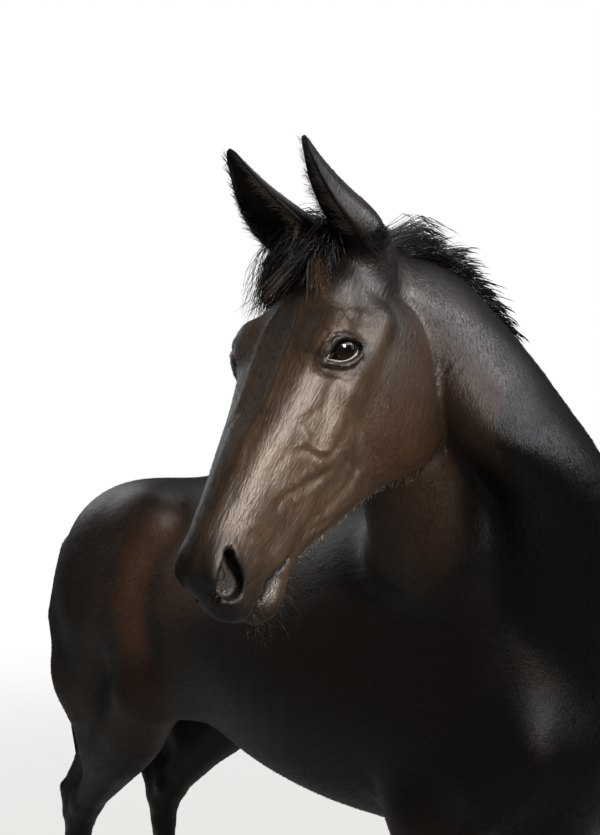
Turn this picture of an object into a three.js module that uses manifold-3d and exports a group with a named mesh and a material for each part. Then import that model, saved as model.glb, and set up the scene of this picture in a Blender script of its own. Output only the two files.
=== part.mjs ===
// A standing riding horse, life size, looking back over its right shoulder.
// Millimetres. +X is the way the trunk faces, +Y is the horse's left and +Z is up. It stands on Z = 0.
//
// The flesh is one smooth field, negative inside, made of swept sections, limbs and ovals that blend.
// Each part's skin is found by casting spokes from a line inside it to the field's surface, and is then cut
// from its neighbours by flat cuts.

import * as THREE from "three";
import { mergeVertices } from "three/addons/utils/BufferGeometryUtils.js";
import Module from "manifold-3d";

const wasm = await Module();
wasm.setup();

const { clamp, degToRad, lerp } = THREE.MathUtils;
const V = (x, y, z) => new THREE.Vector3(x, y, z);

// ---------- driving dimensions ----------

const GAP = 0.3; // kept between two parts that touch
const WITHERS = { x: 330, z: 1598 };
const CHEST_Z = 854; // the trunk ends here between the forelegs
const ELBOW_Z = 925; // the forelegs are cut from the trunk at this height
const STIFLE_Z = 950; // the hind legs are cut from the trunk at this height
const KNEE_CUT_Z = 500;
const HOCK_CUT_Z = 560;
const BEND_START_X = 100; // behind this the trunk curves to the right, as it follows the look back
const BEND_END_X = -430;
const BEND_SLOPE = 0.13;

const POLL = V(446, -490, 1980); // top of the head between the ears
const HEAD_TURN = degToRad(-77); // the face's heading, from +X towards -Y
const HEAD_DROP = degToRad(53); // how far the face slopes down from level
const HEAD_TILT = degToRad(5.7); // the left side of the face is this much higher
const HEAD_LENGTH = 604;

// Places on the head are in its own frame: along the face from the poll, to its left and up from it.
const EYE = { along: 197, side: 76, up: -46, radius: 28 };
const NOSTRIL = { along: 567, side: 46, up: -60, half: [17, 16, 34], pitch: -37, turn: 14 };
const MOUTH = { corner: 492, front: 580, up: -140, core: 28 }; // the line between the lips
// Ears: root, tip, the way the cup opens, and how far forward the leaf's middle bows.
const EARS = {
  left: { root: [-4, 63, -34], tip: [-69, 26, 150], open: [0.7, -0.62, 0.38], bow: 18 },
  right: { root: [-10, -42, -36], tip: [-70, -118, 166], open: [1, 0, 0.3], bow: 32 },
};
const EAR_WALL = 4;

// How far each foot stands from a square stance, forward positive.
const STEP = { foreLeft: -35, foreRight: 45, hindLeft: 110, hindRight: -25 };
const PASTERN_Z = 130; // from here down a foot is moved by all of its step
const CORONET_X = { fore: 456, hind: -788 }; // the middle of a hoof's top in a square stance
const HOOF = {
  soleAhead: 40, // the sole's middle is this far ahead of the top's
  soleLength: 68, // half lengths and widths
  soleWidth: 62,
  topLength: 54,
  topWidth: 52,
  height: 78,
  slope: 0.33, // rise of the coronet towards the toe
  heel: 0.12, // how much narrower the front is than the heel
};

// ---------- smooth fields ----------

const smoothMin = (a, b, k) => {
  const h = Math.max(k - Math.abs(a - b), 0) / k;
  return Math.min(a, b) - (h * h * k) / 4;
};
const smoothMax = (a, b, k) => -smoothMin(-a, -b, k);
const ease = (t) => {
  const s = clamp(t, 0, 1);
  return s * s * (3 - 2 * s);
};

// A smooth line through named stations: each station is [place, value, value, ...].
function through(stations) {
  const at = stations.map((s) => s[0]);
  const slopes = stations.map((s, i) => {
    const a = stations[Math.max(i - 1, 0)];
    const b = stations[Math.min(i + 1, stations.length - 1)];
    return s.map((_, k) => (b[k] - a[k]) / (b[0] - a[0]));
  });
  return (x) => {
    const inside = clamp(x, at[0], at[at.length - 1]);
    let i = 0;
    while (i < at.length - 2 && inside > at[i + 1]) i += 1;
    const span = at[i + 1] - at[i];
    const t = (inside - at[i]) / span;
    const [t2, t3] = [t * t, t * t * t];
    return stations[i].map(
      (v, k) =>
        v * (2 * t3 - 3 * t2 + 1) +
        stations[i + 1][k] * (3 * t2 - 2 * t3) +
        slopes[i][k] * span * (t3 - 2 * t2 + t) +
        slopes[i + 1][k] * span * (t3 - t2),
    );
  };
}

// A limb runs through points [x, y, z, radius].
function limb(...points) {
  return (x, y, z) => {
    let d = Infinity;
    for (let i = 0; i < points.length - 1; i += 1) {
      const [a, b] = [points[i], points[i + 1]];
      const [ux, uy, uz] = [b[0] - a[0], b[1] - a[1], b[2] - a[2]];
      const [px, py, pz] = [x - a[0], y - a[1], z - a[2]];
      const t = clamp((px * ux + py * uy + pz * uz) / (ux * ux + uy * uy + uz * uz), 0, 1);
      d = Math.min(d, Math.hypot(px - t * ux, py - t * uy, pz - t * uz) - lerp(a[3], b[3], t));
    }
    return d;
  };
}

// An oval mass with half sizes [x, y, z], pitched nose-down about Y, then turned left about Z, in degrees.
function oval(centre, half, pitch = 0, turn = 0) {
  const [cp, sp] = [Math.cos(degToRad(pitch)), Math.sin(degToRad(pitch))];
  const [ct, st] = [Math.cos(degToRad(turn)), Math.sin(degToRad(turn))];
  return (x, y, z) => {
    const [px, py, pz] = [x - centre[0], y - centre[1], z - centre[2]];
    const forward = px * ct + py * st;
    const side = (py * ct - px * st) / half[1];
    const along = (forward * cp - pz * sp) / half[0];
    const high = (forward * sp + pz * cp) / half[2];
    const q = Math.hypot(along, side, high);
    const g = Math.hypot(along / half[0], side / half[1], high / half[2]);
    return g > 0 ? (q * (q - 1)) / g : -Math.min(...half);
  };
}

// Distance past a rounded section with half width w, and heights up and down from its widest level.
function section(side, high, w, up, down, topPower, bottomPower) {
  const power = high > 0 ? topPower : bottomPower;
  const q = (Math.abs(side / w) ** power + Math.abs(high / (high > 0 ? up : down)) ** power) ** (1 / power);
  const r = Math.hypot(side, high);
  return q > 1e-6 ? Math.max(r * (1 - 1 / q), -Math.min(w, up, down)) : -Math.min(w, up, down);
}

// Flesh is a list of [field, blend]: each joins what came before it with a fillet of that size.
const joined = (flesh) => (x, y, z) => {
  let d = Infinity;
  for (const [field, blend] of flesh) d = smoothMin(d, field(x, y, z), blend);
  return d;
};

// ---------- the trunk ----------

// [x, top, bottom, half width, widest level, power above, power below]
const trunkAt = through([
  [-935, 1345, 1285, 40, 1315, 2.0, 2.0], // point of the buttock
  [-905, 1392, 1180, 105, 1290, 2.0, 2.0],
  [-850, 1428, 1110, 158, 1270, 2.0, 2.0],
  [-760, 1470, 1060, 212, 1262, 2.0, 2.0], // tail head
  [-640, 1514, 1015, 248, 1270, 2.1, 2.0],
  [-500, 1544, 985, 262, 1285, 2.1, 2.0], // croup
  [-380, 1550, 955, 258, 1270, 2.1, 2.0],
  [-250, 1530, 905, 268, 1225, 2.2, 2.1], // loin and flank
  [-100, 1508, 872, 290, 1190, 2.15, 2.1], // back and belly
  [60, 1516, 858, 292, 1175, 2.0, 2.1],
  [200, 1562, 858, 272, 1160, 1.95, 2.0],
  [WITHERS.x, WITHERS.z, 866, 240, 1150, 1.75, 1.9], // withers and girth
  [440, 1562, 882, 214, 1140, 1.75, 1.85],
  [550, 1450, 905, 192, 1130, 1.8, 1.85],
  [630, 1300, 950, 158, 1120, 2.0, 1.9], // breast
  [680, 1205, 1020, 90, 1112, 2.0, 2.0],
  [700, 1150, 1075, 30, 1110, 2.0, 2.0],
]);
const TRUNK_ENDS = [-935, 700];

function barrel(x, y, z) {
  const [, top, bottom, half, level, above, below] = trunkAt(x);
  const d = section(y, z - level, half, top - level, level - bottom, above, below);
  const past = Math.max(TRUNK_ENDS[0] - x, x - TRUNK_ENDS[1], 0);
  return past > 0 ? Math.hypot(Math.max(d, 0), past) : d;
}

const trunkMuscles = [
  [barrel, 1],
  [limb([300, 0, 1545, 50], [395, 4, 1600, 48], [465, 8, 1655, 38]), 90], // topline into the neck
  [oval([405, 122, 1330], [92, 66, 240], -32), 80], // shoulder blade and its muscles
  [limb([285, 55, 1520, 46], [325, 88, 1430, 58]), 80], // top of the shoulder blade
  [limb([602, 140, 1130, 56], [510, 158, 1045, 70], [405, 164, 975, 66]), 70], // upper arm
  [oval([335, 160, 1130], [135, 66, 160], -25), 70], // triceps
  [oval([612, 70, 1090], [74, 72, 108], 12), 34], // breast muscle
  [oval([560, 78, 985], [85, 62, 66]), 40], // lower breast
  [oval([-455, 198, 1440], [80, 52, 78], 20), 60], // point of the hip
  [oval([-600, 128, 1418], [190, 112, 112], -14), 70], // gluteal muscle
  [oval([-640, 150, 1215], [215, 108, 215], 8), 70], // thigh
  [limb([-868, 92, 1318, 62], [-852, 116, 1150, 84], [-800, 130, 990, 80]), 60], // hamstring
  [oval([-685, 146, 1010], [138, 82, 140]), 60], // lower thigh
  [limb([-480, 190, 1330, 58], [-468, 186, 1050, 74]), 60], // front of the thigh
  [oval([-345, 190, 1060], [120, 44, 80], -24), 70], // flank fold
  [limb([-795, 0, 1440, 42], [-880, 0, 1395, 30]), 30], // root of the tail
];

// ---------- the legs, in a square stance on the left ----------

const foreLeg = [
  [limb([392, 160, 960, 88], [398, 150, 850, 72], [402, 138, 640, 46], [406, 131, 545, 39]), 30],
  [oval([428, 158, 845], [46, 42, 125], -4), 25], // extensor
  [oval([362, 150, 850], [48, 44, 118], 4), 25], // flexor
  [oval([408, 128, 500], [41, 45, 62]), 16], // knee
  [limb([376, 128, 528, 15], [382, 128, 500, 17]), 12],
  [limb([408, 126, 460, 26], [404, 124, 290, 23]), 14], // cannon bone
  [limb([378, 126, 460, 17], [376, 124, 270, 15]), 9], // tendons
  [oval([400, 123, 238], [39, 36, 40]), 16], // fetlock
  [oval([374, 123, 226], [25, 27, 28]), 12],
  [limb([408, 123, 215, 30], [448, 122, 122, 33]), 14], // pastern
  [oval([458, 122, 92], [54, 52, 22], 24), 12], // coronet
];

const hindLeg = [
  [limb([-478, 178, 1000, 84], [-560, 160, 900, 84], [-665, 138, 780, 64], [-800, 120, 640, 40]), 50],
  [oval([-446, 186, 1005], [40, 36, 48]), 30], // stifle
  [limb([-800, 132, 1010, 76], [-752, 138, 900, 66], [-745, 136, 800, 44]), 50],
  [oval([-612, 158, 862], [92, 56, 128], 48), 36], // gaskin
  [limb([-752, 134, 850, 34], [-842, 122, 730, 19], [-896, 116, 655, 17]), 26], // hamstring tendon
  [oval([-785, 125, 738], [42, 16, 112], 42), 20], // hollow of the gaskin
  [limb([-895, 116, 650, 22], [-878, 116, 590, 26]), 20], // point of the hock
  [limb([-812, 118, 628, 42], [-838, 115, 575, 40], [-850, 115, 525, 31]), 20], // hock
  [limb([-850, 115, 520, 29], [-842, 117, 290, 25]), 14], // cannon bone
  [limb([-880, 115, 540, 19], [-872, 117, 275, 16]), 9], // tendons
  [oval([-840, 118, 240], [41, 38, 42]), 16], // fetlock
  [oval([-868, 118, 228], [26, 28, 29]), 12],
  [limb([-832, 118, 216, 31], [-796, 118, 122, 34]), 14], // pastern
  [oval([-786, 118, 92], [54, 52, 22], 24), 12], // coronet
];

// The trunk's curve to the right, as a sideways shift.
function bend(x) {
  const t = BEND_START_X - x;
  const span = BEND_START_X - BEND_END_X;
  if (t <= 0) return 0;
  return t < span ? (-BEND_SLOPE * t * t) / (2 * span) : -BEND_SLOPE * (t - span / 2);
}

// How far a leg is swung at height z: all of its step at the pastern, none at the hinge.
const swing = (step, z, hinge) => step * clamp((hinge - z) / (hinge - PASTERN_Z), 0, 1);

const trunkField = joined(trunkMuscles);
const foreLegField = joined(foreLeg);
const hindLegField = joined(hindLeg);

// Each leg's field is asked for only where it can matter.
const FORE_REACH = { back: 150, front: 720, top: 1100, blend: 45 };
const HIND_REACH = { front: -250, top: 1150, blend: 50 };

function bodyField(x, y, z) {
  const straight = y - bend(x);
  const [isLeft, side] = [straight > 0, Math.abs(straight)];
  let d = trunkField(x, side, z);
  if (x > FORE_REACH.back && x < FORE_REACH.front && z < FORE_REACH.top) {
    const step = isLeft ? STEP.foreLeft : STEP.foreRight;
    d = smoothMin(d, foreLegField(x - swing(step, z, ELBOW_Z), side, z), FORE_REACH.blend);
  }
  if (x < HIND_REACH.front && z < HIND_REACH.top) {
    const step = isLeft ? STEP.hindLeft : STEP.hindRight;
    d = smoothMin(d, hindLegField(x - swing(step, z, STIFLE_Z), side, z), HIND_REACH.blend);
  }
  return d;
}

// ---------- the head ----------

const faceward = V(
  Math.cos(HEAD_DROP) * Math.cos(HEAD_TURN),
  Math.cos(HEAD_DROP) * Math.sin(HEAD_TURN),
  -Math.sin(HEAD_DROP),
);
const levelLeft = V(-Math.sin(HEAD_TURN), Math.cos(HEAD_TURN), 0);
const levelUp = faceward.clone().cross(levelLeft);
const headLeft = levelLeft.clone().multiplyScalar(Math.cos(HEAD_TILT));
headLeft.addScaledVector(levelUp, Math.sin(HEAD_TILT));
const headUp = faceward.clone().cross(headLeft);
const headFrame = new THREE.Matrix4().makeBasis(faceward, headLeft, headUp).setPosition(POLL);
const inHead = (along, side, up) => V(along, side, up).applyMatrix4(headFrame);

// Skull: [along, top, bottom, half width, widest level, power above, power below]
const skullAt = through([
  [-45, -75, -120, 30, -98, 2.0, 2.0],
  [-15, -30, -150, 56, -90, 2.0, 2.0],
  [30, -6, -172, 74, -88, 2.1, 2.0],
  [90, 6, -182, 86, -84, 2.2, 2.0],
  [145, 12, -182, 95, -80, 2.5, 2.1], // forehead
  [200, 10, -174, 97, -84, 2.9, 2.2],
  [260, 4, -164, 89, -92, 3.1, 2.2],
  [320, -1, -156, 78, -94, 2.9, 2.2], // nasal bones
  [380, -3, -150, 67, -88, 2.7, 2.2],
  [440, -5, -146, 57, -84, 2.5, 2.2],
  [500, -8, -144, 49, -80, 2.3, 2.2],
  [545, -13, -148, 47, -80, 2.2, 2.3], // muzzle
  [575, -24, -150, 42, -84, 2.1, 2.3],
  [592, -42, -145, 33, -92, 2.0, 2.1],
  [600, -64, -132, 22, -98, 2.0, 2.0],
  [HEAD_LENGTH, -88, -110, 8, -99, 2.0, 2.0],
]);

// Lower jaw, in the same way.
const jawAt = through([
  [-8, -140, -200, 30, -170, 2.0, 2.0],
  [8, -110, -262, 62, -180, 2.4, 2.6],
  [32, -90, -338, 77, -200, 2.8, 3.4],
  [61, -80, -368, 81, -212, 3.0, 3.9], // angle of the jaw
  [106, -80, -381, 82, -218, 3.0, 4.0],
  [154, -85, -378, 80, -222, 2.9, 3.9],
  [205, -92, -358, 75, -220, 2.8, 3.6],
  [268, -100, -308, 65, -206, 2.5, 3.0],
  [322, -110, -272, 56, -192, 2.4, 2.6],
  [380, -116, -240, 48, -176, 2.3, 2.4],
  [440, -122, -206, 41, -162, 2.1, 2.2],
  [480, -130, -188, 37, -158, 2.1, 2.1],
  [515, -136, -190, 37, -163, 2.1, 2.1],
  [545, -138, -195, 37, -168, 2.1, 2.1], // chin
  [567, -142, -186, 29, -166, 2.0, 2.0],
  [583, -150, -174, 12, -162, 2.0, 2.0],
]);
const SKULL_ENDS = [-45, HEAD_LENGTH];
const JAW_ENDS = [-8, 583];

const sweptAlong = (stationsAt, ends) => (along, side, up) => {
  const [, top, bottom, half, level, above, below] = stationsAt(along);
  const d = section(side, up - level, half, top - level, level - bottom, above, below);
  const past = Math.max(ends[0] - along, along - ends[1], 0);
  return past > 0 ? Math.hypot(Math.max(d, 0), past) : d;
};

const headFlesh = [
  [sweptAlong(skullAt, SKULL_ENDS), 1],
  [sweptAlong(jawAt, JAW_ENDS), 18],
  [oval([128, 60, -205], [125, 33, 150], -8), 16], // cheek muscle
  [oval([196, 80, -18], [50, 30, 26], 10), 30], // brow
  [limb([244, 85, -82, 12], [178, 93, -88, 13], [100, 82, -98, 17]), 34], // cheek bone
  [limb([244, 85, -86, 10], [300, 75, -97, 9], [348, 63, -102, 7]), 32], // facial crest
  [limb([290, 56, -140, 24], [400, 37, -130, 23], [500, 28, -128, 20]), 20], // wall of the mouth
  [oval([556, 28, -52], [38, 18, 27], 8, 6), 14], // wing of the nostril
  [oval([586, 0, -112], [22, 36, 30]), 14], // upper lip
  [oval([546, 0, -170], [34, 28, 25]), 14], // chin
  [limb([-12, 62, -50, 24], [-34, 70, -26, 22]), 24], // base of the ear
];
const headHollows = [
  [oval([122, 84, -24], [30, 11, 20], 0, 8), 24], // above the eye
  [oval([190, 0, -350], [170, 28, 50], -20), 30], // between the jaws
];
const headUnion = joined(headFlesh);
function headSolidField(along, side, up) {
  let d = headUnion(along, Math.abs(side), up);
  for (const [field, blend] of headHollows) d = smoothMax(d, -field(along, Math.abs(side), up), blend);
  return d;
}
const toHead = headFrame.clone().invert().elements;
function headField(x, y, z) {
  const e = toHead;
  return headSolidField(
    e[0] * x + e[4] * y + e[8] * z + e[12],
    e[1] * x + e[5] * y + e[9] * z + e[13],
    e[2] * x + e[6] * y + e[10] * z + e[14],
  );
}

// ---------- the neck ----------

const neckLine = new THREE.CatmullRomCurve3([
  V(400, 0, 1235),
  V(500, -12, 1400),
  V(540, -38, 1570),
  V(508, -108, 1715),
  V(484, -171, 1791),
  V(458, -236, 1850),
  inHead(-24, 0, -180),
  inHead(-5, 0, -95),
]);
// [share of the length, half width, crest above the line, throat below it]
const neckAt = through([
  [0, 150, 230, 250],
  [0.2, 138, 225, 214],
  [0.4, 112, 190, 194],
  [0.6, 97, 170, 178],
  [0.7, 87, 154, 152],
  [0.8, 77, 138, 122],
  [0.9, 67, 118, 98],
  [1, 56, 86, 86],
]);
const NECK_STEPS = 40;
const neckFrames = [...Array(NECK_STEPS + 1).keys()].map((i) => {
  const t = i / NECK_STEPS;
  const centre = neckLine.getPointAt(t);
  const ahead = neckLine.getTangentAt(t);
  const across = V(0, 1, 0).lerp(headLeft, ease(t * 1.05)).normalize();
  const left = across.addScaledVector(ahead, -across.dot(ahead)).normalize();
  const up = ahead.clone().cross(left);
  const [, half, above, below] = neckAt(t);
  return { t, centre, ahead, left, up, half, above, below };
});

// The muscle from the jaw's angle to the shoulder, which fills the inner side of the bend.
const innerMuscle = limb([425, -252, 1745, 58], [394, -222, 1620, 106], [388, -150, 1480, 126]);

const NECK_STEP = neckLine.getLength() / NECK_STEPS;
const NECK_POWERS = [1.5, 2.0];
const INNER_BLEND = 60;

// Where a point lies from a frame: ahead of it, to its left and above it.
function placeFrom({ centre, ahead, left, up }, x, y, z) {
  const [px, py, pz] = [x - centre.x, y - centre.y, z - centre.z];
  return [ahead, left, up].map((way) => px * way.x + py * way.y + pz * way.z);
}

// Between two frames the section is a mix of theirs.
function neckField(x, y, z) {
  let [best, nearest] = [Infinity, 0];
  neckFrames.forEach(({ centre: c }, i) => {
    const d = (x - c.x) ** 2 + (y - c.y) ** 2 + (z - c.z) ** 2;
    if (d < best) [best, nearest] = [d, i];
  });
  const here = neckFrames[nearest];
  const [along, side, high] = placeFrom(here, x, y, z);
  const slide = clamp(along / NECK_STEP, nearest > 0 ? -0.5 : 0, nearest < NECK_STEPS ? 0.5 : 0);
  const next = neckFrames[nearest + Math.sign(slide)];
  const [, nextSide, nextHigh] = placeFrom(next, x, y, z);
  const mix = (a, b) => lerp(a, b, Math.abs(slide));
  const d = section(
    mix(side, nextSide),
    mix(high, nextHigh),
    mix(here.half, next.half),
    mix(here.above, next.above),
    mix(here.below, next.below),
    ...NECK_POWERS,
  );
  const past = Math.abs(along) - NECK_STEP / 2;
  const atEnd = nearest === 0 || nearest === NECK_STEPS;
  const tube = atEnd && past > 0 ? Math.hypot(Math.max(d, 0), past) : d;
  return smoothMin(tube, innerMuscle(x, y, z), INNER_BLEND);
}

// The neck and head join the body only in the part of space that they reach.
const NECK_REACH = { bottom: 1000, back: 100, blend: 70 };
const HEAD_REACH = { bottom: 1300, back: 200, left: 0, blend: 14 };

function horseField(x, y, z) {
  let d = bodyField(x, y, z);
  if (z > NECK_REACH.bottom && x > NECK_REACH.back) d = smoothMin(d, neckField(x, y, z), NECK_REACH.blend);
  if (z > HEAD_REACH.bottom && x > HEAD_REACH.back && y < HEAD_REACH.left)
    d = smoothMin(d, headField(x, y, z), HEAD_REACH.blend);
  return d;
}

// ---------- skins from spokes ----------

const REACH_STEP = 6;
const REACH_HALVINGS = 8;

// How far a spoke runs from a point inside before it leaves the field.
function reach(field, from, way, limit) {
  const inside = (r) => field(from.x + way.x * r, from.y + way.y * r, from.z + way.z * r) < 0;
  let far = REACH_STEP;
  while (far < limit && inside(far)) far += REACH_STEP;
  if (far >= limit) return limit;
  let near = far - REACH_STEP;
  for (let i = 0; i < REACH_HALVINGS; i += 1) {
    const middle = (near + far) / 2;
    if (inside(middle)) near = middle;
    else far = middle;
  }
  return near;
}

// Rings of points closed into one skin with a fan at each end.
function closedRings(rings) {
  const spokes = rings[0].length;
  const points = rings.flat();
  const faces = [];
  rings.slice(1).forEach((_, i) => {
    for (let k = 0; k < spokes; k += 1) {
      const next = (k + 1) % spokes;
      const [a, b] = [i * spokes + k, i * spokes + next];
      const [c, d] = [b + spokes, a + spokes];
      faces.push(a, b, c, a, c, d);
    }
  });
  const middle = (ring) => ring.reduce((sum, p) => sum.add(p), V(0, 0, 0)).divideScalar(spokes);
  const last = (rings.length - 1) * spokes;
  points.push(middle(rings[0]), middle(rings[rings.length - 1]));
  for (let k = 0; k < spokes; k += 1) {
    const next = (k + 1) % spokes;
    faces.push(points.length - 2, next, k, points.length - 1, last + k, last + next);
  }
  const geometry = new THREE.BufferGeometry().setFromPoints(points);
  geometry.setIndex(faces);
  return geometry;
}

// A ring of points: each count-th of a turn gives its angle to the function.
const ringOf = (count, pointAt) => [...Array(count).keys()].map((k) => pointAt((2 * Math.PI * k) / count));

// A skin round a line: each frame has a centre and two ways across it, right-handed about the line's way.
function skinAround(field, frames, { spokes, limit }) {
  const rings = frames.map(({ centre, first, second }) =>
    ringOf(spokes, (a) => {
      const way = first.clone().multiplyScalar(Math.cos(a)).addScaledVector(second, Math.sin(a));
      return centre.clone().addScaledVector(way, reach(field, centre, way, limit));
    }),
  );
  return closedRings(rings);
}

const WELD = 1e-3; // points closer than this are one

function solidOf(geometry) {
  const bare = geometry.index ? geometry.toNonIndexed() : geometry.clone();
  bare.deleteAttribute("normal");
  bare.deleteAttribute("uv");
  const merged = mergeVertices(bare, WELD);
  const mesh = new wasm.Mesh({
    numProp: 3,
    vertProperties: merged.attributes.position.array,
    triVerts: new Uint32Array(merged.index.array),
  });
  return new wasm.Manifold(mesh);
}

function geometryOf(solid) {
  const { vertProperties, triVerts, numProp, numVert } = solid.getMesh();
  const xyz = new Float32Array(numVert * 3);
  for (let i = 0; i < numVert; i += 1) xyz.set(vertProperties.subarray(i * numProp, i * numProp + 3), i * 3);
  const geometry = new THREE.BufferGeometry().setAttribute("position", new THREE.BufferAttribute(xyz, 3));
  geometry.setIndex(new THREE.BufferAttribute(new Uint32Array(triVerts), 1));
  return geometry;
}

// A block from corner to corner, in the row's frame or in a given one.
function block(low, high, frame) {
  const size = V(...high).sub(V(...low));
  const geometry = new THREE.BoxGeometry(size.x, size.y, size.z);
  const centre = V(...low).add(V(...high)).multiplyScalar(0.5);
  geometry.translate(centre.x, centre.y, centre.z);
  if (frame) geometry.applyMatrix4(frame);
  return solidOf(geometry);
}

const steps = (from, to, count) => [...Array(count).keys()].map((i) => lerp(from, to, i / (count - 1)));

// The largest piece of a cut solid.
const largest = (solid) => solid.decompose().reduce((a, b) => (a.volume() > b.volume() ? a : b));

const FAR = 3000; // past every part
const SIDES = { left: 1, right: -1 };

// ---------- the parts ----------

const horse = new THREE.Group();

const coat = new THREE.MeshStandardMaterial({ color: 0x2a201b, roughness: 0.5, metalness: 0 });
const horn = new THREE.MeshStandardMaterial({ color: 0x2b2724, roughness: 0.55, metalness: 0 });
const eyeGlass = new THREE.MeshStandardMaterial({ color: 0x0d0907, roughness: 0.08, metalness: 0 });
const hair = new THREE.MeshStandardMaterial({ color: 0x14100f, roughness: 0.6, metalness: 0 });

function add(name, solid, material) {
  const mesh = new THREE.Mesh(geometryOf(solid), material);
  mesh.name = name;
  horse.add(mesh);
}

// Keeps what lies on the side of a plane that its normal points to, half a gap away from it.
const keep = (solid, normal, point) => {
  const n = normal.clone().normalize();
  return solid.trimByPlane(n.toArray(), n.dot(point) + GAP / 2);
};

// The neck starts at a slope across the shoulder, and gives way to the head behind the ears and the jaw.
const SHOULDER = { normal: V(0.823, 0, 0.568), point: V(545, 0, 1390) };
const THROAT = [
  { normal: [1, 0, 0.33], point: [-86, 0, 0] },
  { normal: [0.7, 0, 1], point: [30, 0, -353] },
];
const HEAD_BLOCK = [[-400, -400, -700], [900, 400, 400]];
const headCell = (grow) =>
  THROAT.reduce((cell, { normal, point }) => {
    const n = V(...normal).transformDirection(headFrame);
    return keep(cell, n, inHead(...point).addScaledVector(n, -grow));
  }, block(...HEAD_BLOCK, headFrame));

// Leg blocks: the trunk loses them and the legs keep them.
const FORE_CUT = { back: 250, front: 545, inner: 62 };
const HIND_CUT = { back: -FAR, front: -372, midlineX: -650, offMidline: 1 };
function legBlock({ back, front }, inner, top, sign, grow) {
  const ys = [sign * (inner - grow), sign * FAR].sort((a, b) => a - b);
  return block([back - grow, ys[0], -FAR], [front + grow, ys[1], top + grow]);
}
const foreBlock = (sign, grow) => legBlock(FORE_CUT, FORE_CUT.inner, ELBOW_Z, sign, grow);
const hindBlock = (sign, grow) =>
  legBlock(HIND_CUT, HIND_CUT.offMidline + sign * bend(HIND_CUT.midlineX), STIFLE_Z, sign, grow);

const TRUNK_X = [
  -931, -916, -885, -835, -770, -700, -620, -540, -470, -410, -340, -250, -140,
  -10, 110, 210, 300, 375, 440, 500, 560, 610, 648, 676, 695,
];
function trunkSkin(grow) {
  const frames = TRUNK_X.map((x) => {
    const [, top, bottom] = trunkAt(x);
    return { centre: V(x, bend(x), (bottom + top) / 2), first: V(0, 1, 0), second: V(0, 0, 1) };
  });
  return solidOf(skinAround((x, y, z) => horseField(x, y, z) - grow, frames, { spokes: 24, limit: 480 }));
}
function trunk() {
  let solid = keep(trunkSkin(0), SHOULDER.normal.clone().negate(), SHOULDER.point).subtract(headCell(GAP));
  solid = keep(solid, V(0, 0, 1), V(0, 0, CHEST_Z));
  for (const sign of Object.values(SIDES))
    solid = solid.subtract(foreBlock(sign, GAP)).subtract(hindBlock(sign, GAP));
  return largest(solid);
}

const NECK_SKIN = { spokes: 22, limit: 330, every: 3 };
function neckSkin(grow) {
  const frames = neckFrames
    .filter((_, i) => i % NECK_SKIN.every === 1 || i === 0 || i === NECK_STEPS)
    .map(({ centre, left, up }) => ({ centre, first: left, second: up }));
  return solidOf(skinAround((x, y, z) => horseField(x, y, z) - grow, frames, NECK_SKIN));
}

const HEAD_ALONG = [
  -52, -38, -15, 15, 45, 80, 115, 150, 178, 205, 235,
  275, 320, 370, 425, 475, 510, 536, 560, 579, 593, 600,
];
function headSkin(grow) {
  const frames = HEAD_ALONG.map((along) => {
    const [, top] = skullAt(along);
    const [, , bottom] = along > JAW_ENDS[0] ? jawAt(along) : skullAt(along);
    return { centre: inHead(along, 0, (top + bottom) / 2), first: headLeft, second: headUp };
  });
  return solidOf(skinAround((x, y, z) => horseField(x, y, z) - grow, frames, { spokes: 24, limit: 300 }));
}

const BALL_SEGMENTS = [12, 8];
// A ball stretched to half sizes and turned, in the head's frame.
function headBall(centre, half, pitch = 0, turn = 0) {
  const ball = new THREE.SphereGeometry(1, ...BALL_SEGMENTS);
  ball.scale(...half);
  ball.rotateY(degToRad(pitch));
  ball.rotateZ(degToRad(turn));
  ball.translate(...centre);
  return solidOf(ball.applyMatrix4(headFrame));
}

const eyeBall = (sign, grow) => {
  const r = EYE.radius + grow;
  return headBall([EYE.along, sign * EYE.side, EYE.up], [r, r, r]);
};
const nostril = (sign) => {
  const { along, side, up, half, pitch, turn } = NOSTRIL;
  return headBall([along, sign * side, up], half, pitch, sign * turn);
};

const LIDS = { centre: [200, 112, -42], half: [28, 25, 17], pitch: -30 }; // the opening between them
const SLIT_HALF = 1; // half the height of the slit between the lips
function mouth() {
  const { corner, front, up, core } = MOUTH;
  const slit = block([corner, -FAR, up - SLIT_HALF], [FAR, FAR, up + SLIT_HALF], headFrame);
  const behindLips = block([0, -core, -FAR], [front, core, FAR], headFrame);
  return slit.subtract(behindLips);
}

function head() {
  let solid = headSkin(0).intersect(headCell(0));
  for (const sign of Object.values(SIDES)) {
    const [along, side, up] = LIDS.centre;
    const lids = headBall([along, sign * side, up], LIDS.half, LIDS.pitch);
    solid = solid.subtract(eyeBall(sign, GAP)).subtract(lids).subtract(nostril(sign));
  }
  return solid.subtract(mouth());
}

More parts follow.
